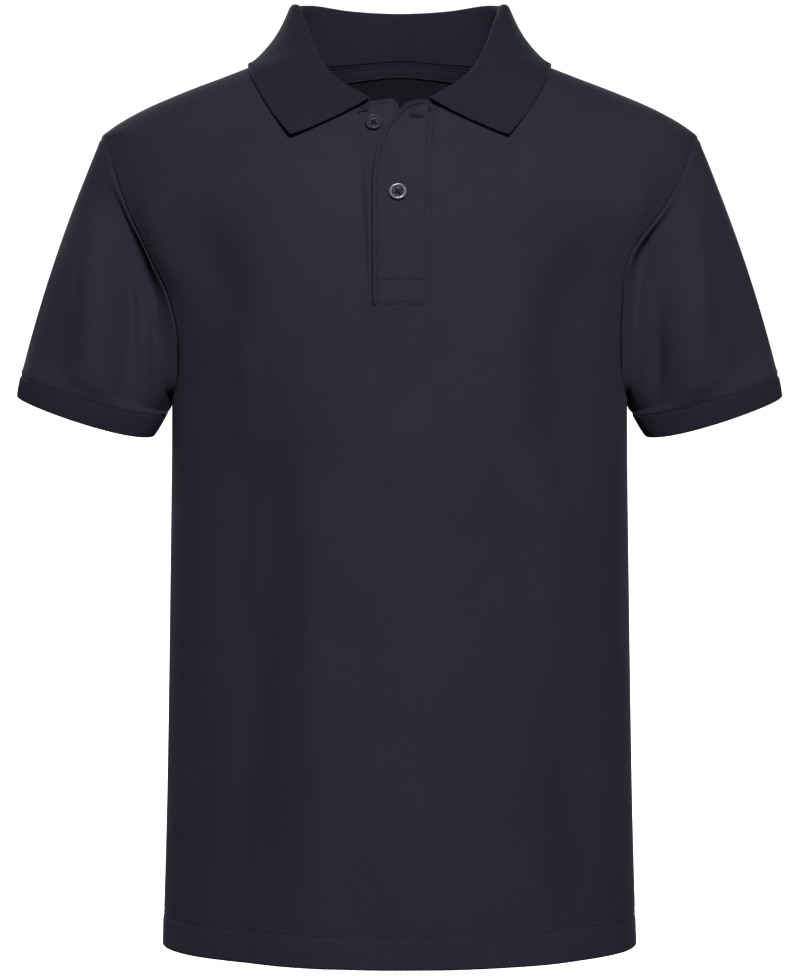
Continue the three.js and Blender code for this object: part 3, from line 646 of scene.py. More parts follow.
def mesh_from(name, points, faces, corner_uv=None, inner_face_painted_shading=None):
    """A smooth-shaded mesh in metres from points in millimetres."""
    points = np.asarray(points, float) * MM
    faces = np.asarray(faces, np.int32)
    sides = faces.shape[1]
    mesh = bpy.data.meshes.new(name)
    mesh.vertices.add(len(points))
    mesh.vertices.foreach_set("co", points.astype(np.float32).ravel())
    mesh.loops.add(faces.size)
    mesh.loops.foreach_set("vertex_index", faces.ravel())
    mesh.polygons.add(len(faces))
    mesh.polygons.foreach_set("loop_start", np.arange(0, faces.size, sides, dtype=np.int32))
    mesh.polygons.foreach_set("use_smooth", np.ones(len(faces), bool))
    if corner_uv is not None:
        layer = mesh.uv_layers.new(name="Cloth")
        layer.data.foreach_set("uv", (np.asarray(corner_uv) * MM).astype(np.float32).ravel())
    # This attribute carries the painted shading of the inner face to the material.
    if inner_face_painted_shading is not None:
        inside = mesh.attributes.new("Inner face painted shading", "FLOAT", "POINT")
        inside.data.foreach_set("value", np.asarray(inner_face_painted_shading, np.float32))
    mesh.update(calc_edges=True)
    mesh.validate()
    return mesh


def lengths_along(rows, axis):
    """Running length along one axis of a grid of points, starting from its first place."""
    steps = np.linalg.norm(np.diff(rows, axis=axis), axis=-1)
    pad = [(1, 0), (0, 0)] if axis == 0 else [(0, 0), (1, 0)]
    return np.cumsum(np.pad(steps, pad), axis=axis)


def panel_uv(rows, middle_column):
    """Across from the middle of the piece, and up it by the mean distance between its rows."""
    across = lengths_along(rows, 1)
    across = across - across[:, middle_column][:, None]
    up = lengths_along(rows, 0).mean(axis=1)
    return np.stack([across, np.broadcast_to(up[:, None], across.shape)], axis=-1)


def place_object(name, mesh, material):
    obj = bpy.data.objects.new(name, mesh)
    bpy.context.scene.collection.objects.link(obj)
    if material is not None:
        mesh.materials.append(material)
    return obj


def dress(name, wall, material, nodes):
    """A finished piece of cloth: it stands for its nodes, which are hidden."""
    obj = place_object(name, mesh_from(name, *wall), bpy.data.materials[material])
    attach(obj, "root")
    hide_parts(*nodes)
    return obj


# Materials


# Depths of the cloths' reliefs and the twill's pitch, in metres.
PIQUE_RELIEF = 0.12 * MM
RIB_RELIEF = 0.08 * MM
TWILL_RELIEF = 0.06 * MM
TWILL_PITCH = 0.9 * MM


class Finish:
    """A material's node tree, with short ways to add and join its nodes."""

    def __init__(self, name, colour, **shader):
        self.material = bpy.data.materials.new(name)
        self.material.use_nodes = True
        self.material.diffuse_color = tuple(colour)
        self.tree = self.material.node_tree
        self.tree.nodes.clear()
        self.shader = self.add("ShaderNodeBsdfPrincipled", "Surface")
        self.shader.inputs["Base Color"].default_value = tuple(colour)
        for socket, value in shader.items():
            self.shader.inputs[socket].default_value = value
        output = self.add("ShaderNodeOutputMaterial", "Output")
        self.join(self.shader.outputs["BSDF"], output.inputs["Surface"])

    def add(self, kind, label, **settings):
        node = self.tree.nodes.new(kind)
        node.label = label
        for key, value in settings.items():
            setattr(node, key, value)
        return node

    def join(self, output, target):
        self.tree.links.new(output, target)

    def math(self, operation, a, b=None, label="Math"):
        node = self.add("ShaderNodeMath", label, operation=operation)
        for socket, value in zip(node.inputs, (a, b)):
            if value is None:
                continue
            if isinstance(value, (int, float)):
                socket.default_value = value
            else:
                self.join(value, socket)
        return node.outputs[0]

    def cloth_place(self):
        """Across and up the cloth, in metres."""
        uv = self.add("ShaderNodeUVMap", "Cloth place", uv_map="Cloth")
        parts = self.add("ShaderNodeSeparateXYZ", "Across and up")
        self.join(uv.outputs["UV"], parts.inputs["Vector"])
        return uv.outputs["UV"], parts.outputs["X"], parts.outputs["Y"]

    def wave(self, place, pitch, label):
        turns = self.math("MULTIPLY", place, 2 * math.pi / pitch, label)
        return self.math("SINE", turns, label=label)

    def noise(self, vector, scale, detail, label):
        node = self.add("ShaderNodeTexNoise", label)
        node.inputs["Scale"].default_value = scale
        node.inputs["Detail"].default_value = detail
        self.join(vector, node.inputs["Vector"])
        return node.outputs["Fac"]

    def object_noise(self, scale, detail, label):
        place = self.add("ShaderNodeTexCoord", "Place")
        return self.noise(place.outputs["Object"], scale, detail, label)

    def spread(self, value, low, high, to_low, to_high, label):
        node = self.add("ShaderNodeMapRange", label)
        self.join(value, node.inputs["Value"])
        limits = {"From Min": low, "From Max": high, "To Min": to_low, "To Max": to_high}
        for socket, number in limits.items():
            node.inputs[socket].default_value = number
        return node.outputs["Result"]

    def shaded_colour(self, colour, shade):
        """The base colour times a shade that varies over the surface."""
        mix = self.add("ShaderNodeMix", "Shade", data_type="RGBA", blend_type="MULTIPLY")
        mix.inputs["Factor"].default_value = 1.0
        mix.inputs["A"].default_value = tuple(colour)
        self.join(shade, mix.inputs["B"])
        self.join(mix.outputs["Result"], self.shader.inputs["Base Color"])
        self.shade = mix

    def relief(self, height, depth, strength=1.0):
        bump = self.add("ShaderNodeBump", "Relief")
        bump.inputs["Strength"].default_value = strength
        bump.inputs["Distance"].default_value = depth
        self.join(height, bump.inputs["Height"])
        self.join(bump.outputs["Normal"], self.shader.inputs["Normal"])


def cloth_finish(name, colour, height, depth, mottle=0.06, pit_shade=0.16, sheen=0.04, inner_face_painted_shading=0.4):
    """A knitted or woven cloth: its colour is painted darker in its relief's pits as shade and
    lighter on its tops as light, and its dye varies softly.
    """
    finish = Finish(
        name,
        colour,
        Roughness=0.92,
        **{
            "Specular IOR Level": 0.04,
            "Sheen Weight": sheen,
            "Sheen Roughness": 0.55,
            "Sheen Tint": (0.72, 0.76, 1.0, 1.0),
        },
    )
    place, across, up = finish.cloth_place()
    relief = height(finish, across, up)
    fibres = finish.noise(place, 1500.0, 2.0, "Fibres")
    cloudy = finish.noise(place, 14.0, 3.0, "Dye")
    relief = finish.math("ADD", relief, finish.math("MULTIPLY", fibres, 0.35), "Fuzzy relief")
    # Colour follows the relief: painted shade in the knit's pits and painted light on its tops,
    # times the uneven dye.
    shade = finish.math(
        "MULTIPLY",
        finish.spread(relief, 0.1, 1.25, 1 - pit_shade, 1 + pit_shade * 0.6, "Painted shade in pits and light on tops"),
        finish.spread(cloudy, 0.3, 0.7, 1 - mottle, 1 + mottle, "Uneven dye"),
        "Shade",
    )
    # Below 1 the factor paints shade on the inner face inside the shirt; above 1, on the rib, it
    # paints light on the collar's inside. The knit's duller wrong side is only a small part of it.
    inside = finish.add("ShaderNodeAttribute", "Inner face painted shading", attribute_name="Inner face painted shading")
    inner_face_shading = finish.spread(inside.outputs["Fac"], 0, 1, 1, inner_face_painted_shading, "Painted shading of inner face")
    finish.shaded_colour(colour, finish.math("MULTIPLY", shade, inner_face_shading, "Shade and inner face shading"))
    finish.relief(relief, depth)
    return finish.material


def pique_height(pitch):
    """Small raised cells in staggered rows, a little wider than tall."""

    def height(finish, across, up):
        wale = finish.wave(across, pitch * 1.25, "Wales")
        course = finish.wave(up, pitch, "Courses")
        cells = finish.math("MULTIPLY", wale, course, "Cells")
        return finish.spread(cells, -1, 1, 0, 1, "Cell height")

    return height


def rib_height(pitch):
    """Loops up each rib. The ribs themselves are in the mesh."""

    def height(finish, across, up):
        loops = finish.wave(up, pitch * 0.55, "Loops")
        halves = finish.wave(across, pitch / 2, "Loop halves")
        both = finish.math("MULTIPLY", loops, halves, "Loop sides")
        return finish.spread(both, -1, 1, 0.1, 0.9, "Loop height")

    return height


def twill_height(pitch):
    """Fine slanting ridges."""

    def height(finish, across, up):
        slant = finish.math("ADD", across, up, "Slant")
        return finish.spread(finish.wave(slant, pitch, "Ridges"), -1, 1, 0, 1, "Ridge height")

    return height


# Settings


def length_property(name, description, default, least, most):
    """A length, given in millimetres."""
    return bpy.props.FloatProperty(
        name=name, description=description, default=default * MM, min=least * MM, max=most * MM,
        precision=5, unit="LENGTH",
    )


def colour_property(name, description, *default):
    return bpy.props.FloatVectorProperty(
        name=name, description=description, default=(*default, 1.0), size=4,
        min=0.0, max=1.0, subtype="COLOR",
    )


def power_property(name, description, default):
    return bpy.props.FloatProperty(
        name=name, description=description, default=default, min=0.0, subtype="POWER", unit="POWER"
    )


class PoloSizes(bpy.types.PropertyGroup):
    """Sizes of the cloths, the thread and the buttons"""

    cloth: length_property("Pique", "Thickness of the body cloth", 1.2, 0.4, 3)
    hem_cloth: length_property("Hem", "Thickness of the turned-up hem", 2.2, 0.8, 5)
    placket_cloth: length_property("Placket", "Thickness of the placket strips", 1.6, 0.8, 4)
    rib_cloth: length_property("Rib knit", "Thickness of the collar and cuffs", 1.8, 0.8, 4)
    tape_cloth: length_property("Tape", "Thickness of the neck tape", 0.8, 0.4, 3)
    rib_pitch: length_property("Rib pitch", "Distance from rib to rib", 1.8, 1, 5)
    rib_relief: length_property("Rib relief", "How far the ribs stand up and sink", 0.13, 0, 0.5)
    weave_pitch: length_property("Pique cell", "Height of one cell of the pique", 1.7, 0.6, 4)
    stitch_pitch: length_property("Stitch pitch", "Distance from stitch to stitch", 2.6, 1, 6)
    thread: length_property("Thread", "Thickness of the sewing thread", 0.36, 0.1, 1)
    button: length_property("Button", "Width of a button", 11, 6, 20)
    fold_depth: bpy.props.FloatProperty(
        name="Folds", description="Depth of the folds, as a share of the shirt's own",
        default=1.0, min=0.0, max=2.0, subtype="FACTOR",
    )


class PoloColours(bpy.types.PropertyGroup):
    """Colours of the cloths, the thread and the buttons"""

    pique: colour_property("Pique", "Colour of the body cloth", 0.0262, 0.0262, 0.0415)
    rib: colour_property("Rib", "Colour of the collar and cuffs", 0.0190, 0.0190, 0.0305)
    tape: colour_property("Tape", "Colour of the neck tape", 0.0190, 0.0190, 0.0305)
    thread: colour_property("Thread", "Colour of the sewing thread", 0.0150, 0.0155, 0.0290)
    button: colour_property("Button", "Colour of the buttons", 0.0240, 0.0250, 0.0400)
    # The button ring colour is a painted highlight for the rim's reflections, with a little of the
    # plastic's own pearly rim.
    painted_ring_highlight: colour_property("Painted button ring highlight", "Colour of a button's lit ring", 0.1500, 0.1540, 0.1800)
    # The slit colour is painted shadow for the shade inside each buttonhole.
    slit: colour_property("Slit", "Colour inside the buttonholes", 0.0040, 0.0040, 0.0080)


class PoloStudio(bpy.types.PropertyGroup):
    """Powers of the studio's lights"""

    key: power_property("Key light", "Power of the large front light", 16.0)
    fill: power_property("Fill light", "Power of the lower light at the viewer's left", 1.5)
    back: power_property("Back light", "Power of the light behind the shirt", 80.0)


def sizes():
    return bpy.context.scene.polo_sizes


def in_mm(name):
    return getattr(sizes(), name) / MM


# Panels


HEM_STEPS = [0, 0.6, 1.8, 3.6, 6, 9, 12.5, 16, 18, 19, 20, 21.2, 22.4, 23.6, 25, 27]
EDGE_STEPS = np.array([0, 0.3, 0.7, 1.3, 2.0, 2.6, 3.0, 3.3, 3.7, 4.4, 6.0])
FRONT_COLUMNS = 38
CENTRE_COLUMNS = 12
BACK_COLUMNS = 44


def panel_levels():
    """Row heights from the hem to the neck point, closer together where the form turns."""
    levels = np.concatenate([
        HEM_LEVEL + np.array(HEM_STEPS, float),
        np.linspace(HEM_LEVEL + 30, PLACKET_FOOT - 78, 78),
        np.linspace(PLACKET_FOOT - 76, ARMHOLE_BOTTOM, 12),
        armhole_level(np.pi * (1 - np.linspace(0, 1, ARMHOLE_STEPS + 1)[1:-1])),
        np.linspace(ARMHOLE_TOP, NECK_POINT_LEVEL - 0.4, 34),
    ])
    for fixed in (PLACKET_FOOT, NECK_FOOT_LEVEL):
        levels[np.argmin(np.abs(levels - fixed))] = fixed
    return levels


def panel_edge_turn(z, side=-1):
    """The turn of a panel's outer edge: the side seam, the armhole or the shoulder line."""
    swing = np.arccos(np.clip((z - ARMHOLE_MIDDLE) / ARMHOLE_HALF, -1, 1))
    return armhole_turn(swing, side)


def spaced_turns(z, inner, outer, face, count):
    """Turns from an inner edge to an outer one, with close steps at both."""
    width, depth = torso_width(z), torso_depth(z, face)

    def per_mm(turn):
        return 1 / np.hypot(width * np.cos(turn), depth * np.sin(turn))

    way = np.sign(outer - inner)
    room = np.abs(outer - inner) / np.maximum(per_mm(outer), per_mm(inner))
    squeeze = np.minimum(1, 0.3 * room / EDGE_STEPS[-1])
    from_inner = EDGE_STEPS * (squeeze * per_mm(inner))[:, None]
    from_outer = EDGE_STEPS[::-1] * (squeeze * per_mm(outer))[:, None]
    at_inner = inner[:, None] + way[:, None] * from_inner
    at_outer = outer[:, None] - way[:, None] * from_outer
    t = np.linspace(0, 1, count + 2)[1:-1]
    middle = at_inner[:, -1:] * (1 - t) + at_outer[:, :1] * t
    return np.concatenate([at_inner, middle, at_outer], axis=1)


def seam_lines():
    """The lines that the body's pieces are sewn along, as rows of points."""
    level = np.linspace(HEM_LEVEL, ARMHOLE_BOTTOM, 340)
    shoulder = np.linspace(ARMHOLE_TOP, NECK_POINT_LEVEL, 90)
    swing = np.linspace(0, 2 * np.pi, 700)
    lines = []
    for side in (-1, 1):
        lines.append(bare_torso(side * QUARTER, level, FRONT))
        lines.append(bare_torso(side * QUARTER, shoulder, FRONT))
        lines.append(armhole_point(side, swing))
    return lines


def seam_groove(points, lines, depth=0.55, ridge=0.28):
    """Cloth sinks into a seam and swells a little beside it."""
    distance = np.min([near_line(points, line) for line in lines], axis=0)
    return ridge * bell(distance - 3.0, 1.5) - depth * bell(distance, 1.0)


def hem_lift(z, x):
    """The hem: two rows of stitching that dent the cloth, and the faint pulls between them."""
    up = z - HEM_LEVEL
    dents = sum(0.28 * bell(up - row, 0.9) for row in HEM_STITCHES)
    pulls = 0.16 * np.sin(x / 2.3 + 1.7 * np.sin(x / 17)) * bell(up - 15, 8)
    return pulls - dents + 0.3 * smoothstep(up, 19.5, 16)


def placket_press(x, z):
    """The panel sinks to the placket's edges and foot, and is stitched down beside its right."""
    from_left = np.abs(x - placket_line["panel_left"](z))
    from_right = x - placket_line["panel_right"](z)
    beside = np.minimum(from_left, np.abs(from_right))
    foot = np.hypot(np.maximum(np.abs(x) - PLACKET_HALF_WIDTH, 0), z - PLACKET_FOOT)
    band = smoothstep(z, PLACKET_FOOT - 1, PLACKET_FOOT + 1)
    press = -0.45 * bell(np.where(z < PLACKET_FOOT, foot, beside), 1.0)
    press = press + band * 0.34 * bell(from_right - 1.7, 0.9)
    press = press - band * 0.42 * bell(from_right - PANEL_STITCH, 0.45)
    return press + band * 0.3 * bell(from_left - 1.1, 0.7)


def profile_length(z, face):
    """Length up the panel's middle from the hem, at each level."""
    fine = np.linspace(HEM_LEVEL, 20, 1200)
    steps = np.hypot(np.diff(fine), np.diff(torso_depth(fine, face)))
    return np.interp(z, fine, running_total(steps))


def panel_wall(rows, z, face, flip, middle, keep=None):
    """Grooves, hem and thickness that both panels share."""
    cells = grid_cells(rows.shape[:2], keep=keep)
    normals = grid_normals(rows, cells, flip)
    lift = seam_groove(rows, seam_lines()) + hem_lift(z, rows[..., 0])
    if face == FRONT:
        lift = lift + placket_press(rows[..., 0], rows[..., 2])
    raised = rows + normals * lift[..., None]
    uv = panel_uv(rows, middle)
    uv[..., 1] = profile_length(z, face)
    hem = 1 - smoothstep(z - HEM_LEVEL, HEM_DEPTH - 0.5, HEM_DEPTH + 0.5)
    thickness = in_mm("cloth") + (in_mm("hem_cloth") - in_mm("cloth")) * hem
    thickness = np.broadcast_to(thickness, rows.shape[:2])

    def level_at_seams(found):
        found = found.copy()
        sewn = np.isclose(rows[..., 1], 0, atol=SEAM_REACH + 0.01)
        found[sewn, 1] = 0
        return unit(found)

    return cloth_wall(raised, thickness, uv, flip, keep=keep, inner_normals=level_at_seams)


def front_wall():
    z = panel_levels()
    outer_left, outer_right = panel_edge_turn(z), panel_edge_turn(z, 1)
    low = z <= NECK_FOOT_LEVEL + 0.01
    swing = crossing(
        lambda s: neck_point(s)[..., 2] - z, COLLAR_END_SWING, NECK_POINT_SWING, z.shape
    )
    at_neck = turn_at(neck_point(swing)[..., 0], z)
    left = np.where(low, turn_at(placket_line["panel_left"](z), z), -at_neck)
    right = np.where(low, turn_at(placket_line["panel_right"](z), z), at_neck)
    side_left = spaced_turns(z, left, -outer_left, FRONT, FRONT_COLUMNS)[:, ::-1]
    side_right = spaced_turns(z, right, outer_right, FRONT, FRONT_COLUMNS)
    t = np.linspace(0, 1, CENTRE_COLUMNS + 2)[1:-1]
    centre = left[:, None] * (1 - t) + right[:, None] * t
    turns = np.concatenate([side_left, centre, side_right], axis=1)
    columns = side_left.shape[1]
    levels = np.broadcast_to(z[:, None], turns.shape)
    rows = torso_point(turns, levels, FRONT)
    rows[:, [0, -1], 1] -= SEAM_REACH

    def keep(i, j):
        outside = (i < columns - 1) | (i >= columns + CENTRE_COLUMNS)
        return outside | (z[j + 1] < PLACKET_FOOT + 0.5)

    return panel_wall(rows, levels, FRONT, False, columns + CENTRE_COLUMNS // 2, keep)


def neck_row(share):
    """The back panel's top edge, by its share of the way from the middle to a neck point."""
    swing = np.pi + (NECK_POINT_SWING + 0.03 - np.pi) * np.abs(share)
    row = neck_point(swing)
    row[:, 0] *= np.sign(share)
    return row


def back_wall():
    z = panel_levels()
    outer = panel_edge_turn(z)
    half = spaced_turns(z, np.zeros(len(z)), outer, BACK, BACK_COLUMNS)[:, len(EDGE_STEPS) :]
    turns = np.concatenate([-half[:, ::-1], np.zeros((len(z), 1)), half], axis=1)
    levels = np.broadcast_to(z[:, None], turns.shape)
    rows = torso_point(turns, levels, BACK)
    rows[:, [0, -1], 1] += SEAM_REACH
    top = neck_row(turns[-1] / outer[-1])
    upper = [rows[-1] * (1 - t) + top * t for t in (0.25, 0.5, 0.75)]
    for row in upper:
        row[:, 1] = bare_torso(turn_at(row[:, 0], row[:, 2]), row[:, 2], BACK)[:, 1]
    rows = np.concatenate([rows, upper, [top]])
    return panel_wall(rows, rows[..., 2], BACK, True, turns.shape[1] // 2)


# Sleeves and cuffs


def ring_point(ring, side, swing):
    (outer_x, outer_z), (inner_x, inner_z) = ring["outer"], ring["inner"]
    x = (outer_x + inner_x) / 2 + (outer_x - inner_x) / 2 * np.cos(swing)
    z = (outer_z + inner_z) / 2 + (outer_z - inner_z) / 2 * np.cos(swing)
    forward = np.sin(swing)
    dip = ring["dip"] * (1 - CUFF_SKEW * np.cos(swing))
    return np.stack([side * x, -ring["depth"] * forward, z - dip * forward], axis=-1)


def sleeve_rows(side, swing, share):
    """The sleeve's cloth, by its share of the way from the armhole to the cuff's seam."""
    start, end = armhole_point(side, swing), ring_point(SLEEVE_END, side, swing)
    start = start - unit(end - start) * SEAM_REACH
    point = start + (end - start) * share[..., None]
    centre = ring_point(SLEEVE_END, side, np.array([0, np.pi])).mean(axis=0)
    outward = unit(end - centre)
    bow = SLEEVE_BOW * (4 * share * (1 - share))
    bow = bow * (1 + 0.3 * np.cos(swing)) * (0.5 + 0.5 * np.cos(swing / 2) ** 2)
    fade = smoothstep(share, 0.005, 0.075) * smoothstep(share, 1, 0.87)
    fade = fade * np.abs(np.sin(swing)) ** 0.5
    face = np.where(np.sin(swing) > 0, FRONT, BACK)
    x, z = point[..., 0], point[..., 2]
    lift = bow + fade * sizes().fold_depth * fold_lift(SLEEVE_FOLDS, face, x, z)
    lift = lift + fade * 0.6 * swells(x + 40, z)
    return point + outward * lift[..., None]


def tube_uv(rows):
    around = lengths_along(np.concatenate([rows, rows[:, :1]], axis=1), 1)
    around = around * (around[:, -1].mean() / around[:, -1:])
    down = lengths_along(rows, 0).mean(axis=1)
    return np.stack([around, np.broadcast_to(-down[:, None], around.shape)], axis=-1)


def sleeve_wall(side):
    near_start, near_end = [0, 0.004, 0.01, 0.018, 0.03], [0.985, 0.995, 1]
    steps = np.concatenate([near_start, np.linspace(0.045, 0.97, 54), near_end])
    # As many places around as the panels' armholes have, so that the two edges match.
    swing = np.linspace(0, 2 * np.pi, 2 * ARMHOLE_STEPS, endpoint=False)
    swing, share = np.meshgrid(swing, steps)
    rows = sleeve_rows(side, swing, share)
    uv = tube_uv(rows)
    normals = grid_normals(rows, grid_cells(rows.shape[:2], True), side < 0)
    ring = np.linspace(0, 2 * np.pi, 500)
    lift = seam_groove(rows, [armhole_point(side, ring)], ridge=0.24)
    lift = lift + seam_groove(rows, [ring_point(SLEEVE_END, side, ring)], depth=0.5)
    rows = rows + normals * lift[..., None]
    return cloth_wall(rows, in_mm("cloth"), uv, side < 0, closed=True)


def rib_wave(place):
    return np.cos(2 * np.pi * place)


def cuff_wall(side):
    mean_radius = math.sqrt(sum(radius**2 for radius in CUFF_RADII) / 2)
    ribs = round(2 * np.pi * mean_radius / in_mm("rib_pitch"))
    swing = np.linspace(0, 2 * np.pi, ribs * 4, endpoint=False)
    steps = np.array([0, 0.03, 0.08, 0.16, 0.28, 0.42, 0.56, 0.7, 0.82, 0.91, 0.97, 1])
    swing, share = np.meshgrid(swing, steps)
    top, edge = ring_point(SLEEVE_END, side, swing), ring_point(CUFF_EDGE, side, swing)
    start = top + unit(edge - top) * 0.15
    rows = start + (edge - start) * share[..., None]
    uv = tube_uv(rows)
    normals = grid_normals(rows, grid_cells(rows.shape[:2], True), side < 0)
    lift = 0.35 * np.sin(np.pi * share) ** 0.5 - 0.5 * bell(share, 0.05)
    fade = smoothstep(share, 0.0, 0.1) * smoothstep(share, 1.0, 0.9)
    lift = lift + in_mm("rib_relief") * fade * rib_wave(swing / (2 * np.pi) * ribs)
    rows = rows + normals * lift[..., None]
    return cloth_wall(rows, in_mm("rib_cloth"), uv, side < 0, closed=True)


# Placket


def edge_dent(away, depth=0.45, width=0.5):
    """A row of stitching that sinks into the cloth, some way in from its edge."""
    return -depth * bell(away, width)


def rim(away, stitch):
    """The roll of a stitched edge: full between the edge and its stitching."""
    return 0.3 * bell(away - stitch * 0.45, stitch * 0.3)


def rounded_least(a, b):
    """The lesser of two distances, with a rounded turn where they are alike."""
    return -np.log(np.exp(-a) + np.exp(-b))


def spread_out(marks, low, high, step):
    """Places from low to high: close together at each mark, and a step apart elsewhere."""
    close = [mark + off for mark in marks for off in (-0.9, -0.5, -0.25, 0, 0.25, 0.5, 0.9)]
    close = [low, high, *close]
    plain = [at for at in np.arange(low, high, step) if min(abs(at - c) for c in close) > 0.45]
    places = np.unique(np.round(np.array(close + plain), 3))
    return places[(places >= low) & (places <= high)]


def over_curl(across, z):
    return OVER_CURL * smoothstep(z, -72, -26) * (1 - across) ** 2


def over_edges(z):
    return placket_line["over_left"](z), placket_line["panel_right"](z) - OVER_GAP


def over_point(across, z, extra=0.0):
    left, right = over_edges(z)
    out = OVER_PROUD + over_curl(across, z) + extra
    return front_point(left + (right - left) * across, z, out)


def over_top(across):
    return OVER_TOP - OVER_TOP_DROP * (1 - across) ** 2.2


def strip_wall(rows, lift):
    """A strip of the placket, from its smooth rows and how far they are lifted."""
    normals = grid_normals(rows, grid_cells(rows.shape[:2]), False)
    rows = rows + normals * lift[..., None]
    return cloth_wall(rows, in_mm("placket_cloth"), panel_uv(rows, rows.shape[1] // 2))


def over_wall():
    height = OVER_TOP - OVER_FOOT
    marks = (EDGE_MARGIN, OVER_RIM_STITCH, OVER_WIDTH - EDGE_MARGIN)
    across = spread_out(marks, 0, OVER_WIDTH, 0.9) / OVER_WIDTH
    marks = (EDGE_MARGIN, *OVER_BOX, height - EDGE_MARGIN, height - OVER_RIM_STITCH, height - 4)
    rise = spread_out(marks, 0, height, 1.2) / height
    across, rise = np.meshgrid(across, rise)
    level = OVER_FOOT + (over_top(across) - OVER_FOOT) * rise
    left, right = over_edges(level)
    from_left, from_right = (right - left) * across, (right - left) * (1 - across)
    from_top = (over_top(across) - OVER_FOOT) * (1 - rise)
    x, up = left + from_left, level - OVER_FOOT
    from_rim = rounded_least(from_left, from_top)
    lift = edge_dent(from_rim - OVER_RIM_STITCH) + rim(from_rim, OVER_RIM_STITCH)
    lift = lift + edge_dent(up - OVER_BOX[0], 0.35) + edge_dent(up - OVER_BOX[1], 0.35)
    lift = lift - 0.5 * bell(from_right, 0.8) - 0.4 * bell(up, 0.8)
    lift = lift + 0.4 * swells(x * 1.8 + 11, level * 1.6)
    second = BUTTON_PLACES["button_second"]
    pull = bell(np.hypot(x - second["x"], level - second["z"]), 6)
    return strip_wall(over_point(across, level), lift - 0.5 * pull)


def under_edges(z):
    return placket_line["panel_left"](z) - UNDER_HIDDEN, placket_line["under_right"](z)


def under_top(across):
    corner = 0.9 * smoothstep(across, 0.93, 1.0) ** 2
    return UNDER_TOP - UNDER_TOP_FALL * (1 - across) - corner


def under_wall():
    marks = (EDGE_MARGIN, UNDER_WIDTH - UNDER_RIM_STITCH, UNDER_WIDTH - EDGE_MARGIN)
    across = spread_out(marks, 0, UNDER_WIDTH, 1.0) / UNDER_WIDTH
    foot = PLACKET_FOOT - UNDER_HIDDEN
    height = UNDER_TOP - foot
    marks = (height - UNDER_RIM_STITCH, height - EDGE_MARGIN)
    rise = spread_out(marks, 0, height, 1.5) / height
    across, rise = np.meshgrid(across, rise)
    level = foot + (under_top(across) - foot) * rise
    left, right = under_edges(level)
    from_top = (under_top(across) - foot) * (1 - rise)
    from_right = (right - left) * (1 - across)
    seen = smoothstep(across, 0.3, 0.4)
    from_rim = rounded_least(from_right, from_top + 9 * (1 - seen))
    lift = edge_dent(from_rim - UNDER_RIM_STITCH) + rim(from_rim, UNDER_RIM_STITCH)
    return strip_wall(front_point(left + (right - left) * across, level, -UNDER_SUNK), lift)


# Collar and tape


def neck_below(fold):
    """The place on the neck seam under each place of the fold, in the same direction."""
    reach = np.where(fold[..., 1] < NECK_MIDDLE_Y, NECK_FRONT, NECK_BACK)
    forward = (NECK_MIDDLE_Y - fold[..., 1]) / reach
    point = neck_point(np.arctan2(np.abs(fold[..., 0]) / NECK_HALF_WIDTH, forward))
    point[..., 0] *= np.sign(fold[..., 0])
    point[..., 2] += COLLAR_SEAM_RISE
    return point


def collar_line(part):
    half = [np.array(station[part], float) for station in COLLAR_STATIONS]
    other = [p * (-1, 1, 1) for p in half[:-1]]
    return other + half[::-1]


def collar_rows():
    """The collar's inner face, from the neck seam up the stand, over the fold and down the leaf,
    with how many ribs it has and how far each profile lies from the collar's nearer end."""
    fold_points, edge_points = collar_line("fold"), collar_line("edge")
    _, _, length = smooth_line(fold_points, 2)
    ribs = round(length / in_mm("rib_pitch"))
    count = ribs * 4 + 1
    fold, at, _ = smooth_line(fold_points, count)
    # The edge line is read at the same station as the fold line, so the ribs run straight.
    stations = np.linspace(0, 1, len(fold_points))
    station = np.interp(at, running_total(step_lengths(fold_points) ** 0.5), stations)
    edge = [smooth_curve(stations, column)(station) for column in np.transpose(edge_points)]
    edge = np.stack(edge, axis=-1)
    along = np.gradient(fold, axis=0)
    outward = unit(np.stack([-along[:, 1], along[:, 0], np.zeros(count)], axis=-1))
    up = np.array([0, 0, 1.0])
    centre = fold - up * FOLD_RADIUS
    stand_top = centre - outward * FOLD_RADIUS
    neck = neck_below(fold)
    profile = []
    for t in STAND_STEPS:
        point = neck * (1 - t) + stand_top * t
        profile.append(point - outward * (STAND_HOLLOW * math.sin(math.pi * t)))
    # The fold turns over as far as the leaf's own slope, so that the two meet without a crease.
    to_edge = edge - centre
    slope = np.arctan2((to_edge * outward).sum(1), -to_edge[:, 2])[:, None]
    for share_of_turn in np.linspace(0, 1, FOLD_STEPS):
        angle = share_of_turn * (np.pi - slope)
        leaf_top = centre - outward * FOLD_RADIUS * np.cos(angle) + up * FOLD_RADIUS * np.sin(angle)
        profile.append(leaf_top)
    end_share = np.linspace(0, 1, count)
    from_end = np.minimum(end_share, 1 - end_share) * length
    for t in LEAF_STEPS:
        point = leaf_top * (1 - t) + edge * t
        point = point - outward * (LEAF_SAG * math.sin(math.pi * t) ** 1.6)
        droop = LEAF_DROOP * 4 * t * (1 - t) * bell(from_end, LEAF_DROOP_REACH)
        profile.append(point - up * droop[:, None])
    rows = np.stack(profile, axis=1)
    lifted = LEAF_LIFT * bell(from_end, LEAF_LIFT_REACH)
    clearance = LEAF_CLEARANCE + lifted[:, None] * np.sin(np.pi * LEAF_STEPS) ** 0.6
    first = rows.shape[1] - len(LEAF_STEPS)
    for _ in range(10):
        rows[:, first:] = keep_outside(rows[:, first:], clearance)
        beside = rows[:, first - 1 : -2] + rows[:, first + 1 :]
        rows[:, first:-1] = rows[:, first:-1] / 2 + beside / 4
    return rows, ribs, from_end


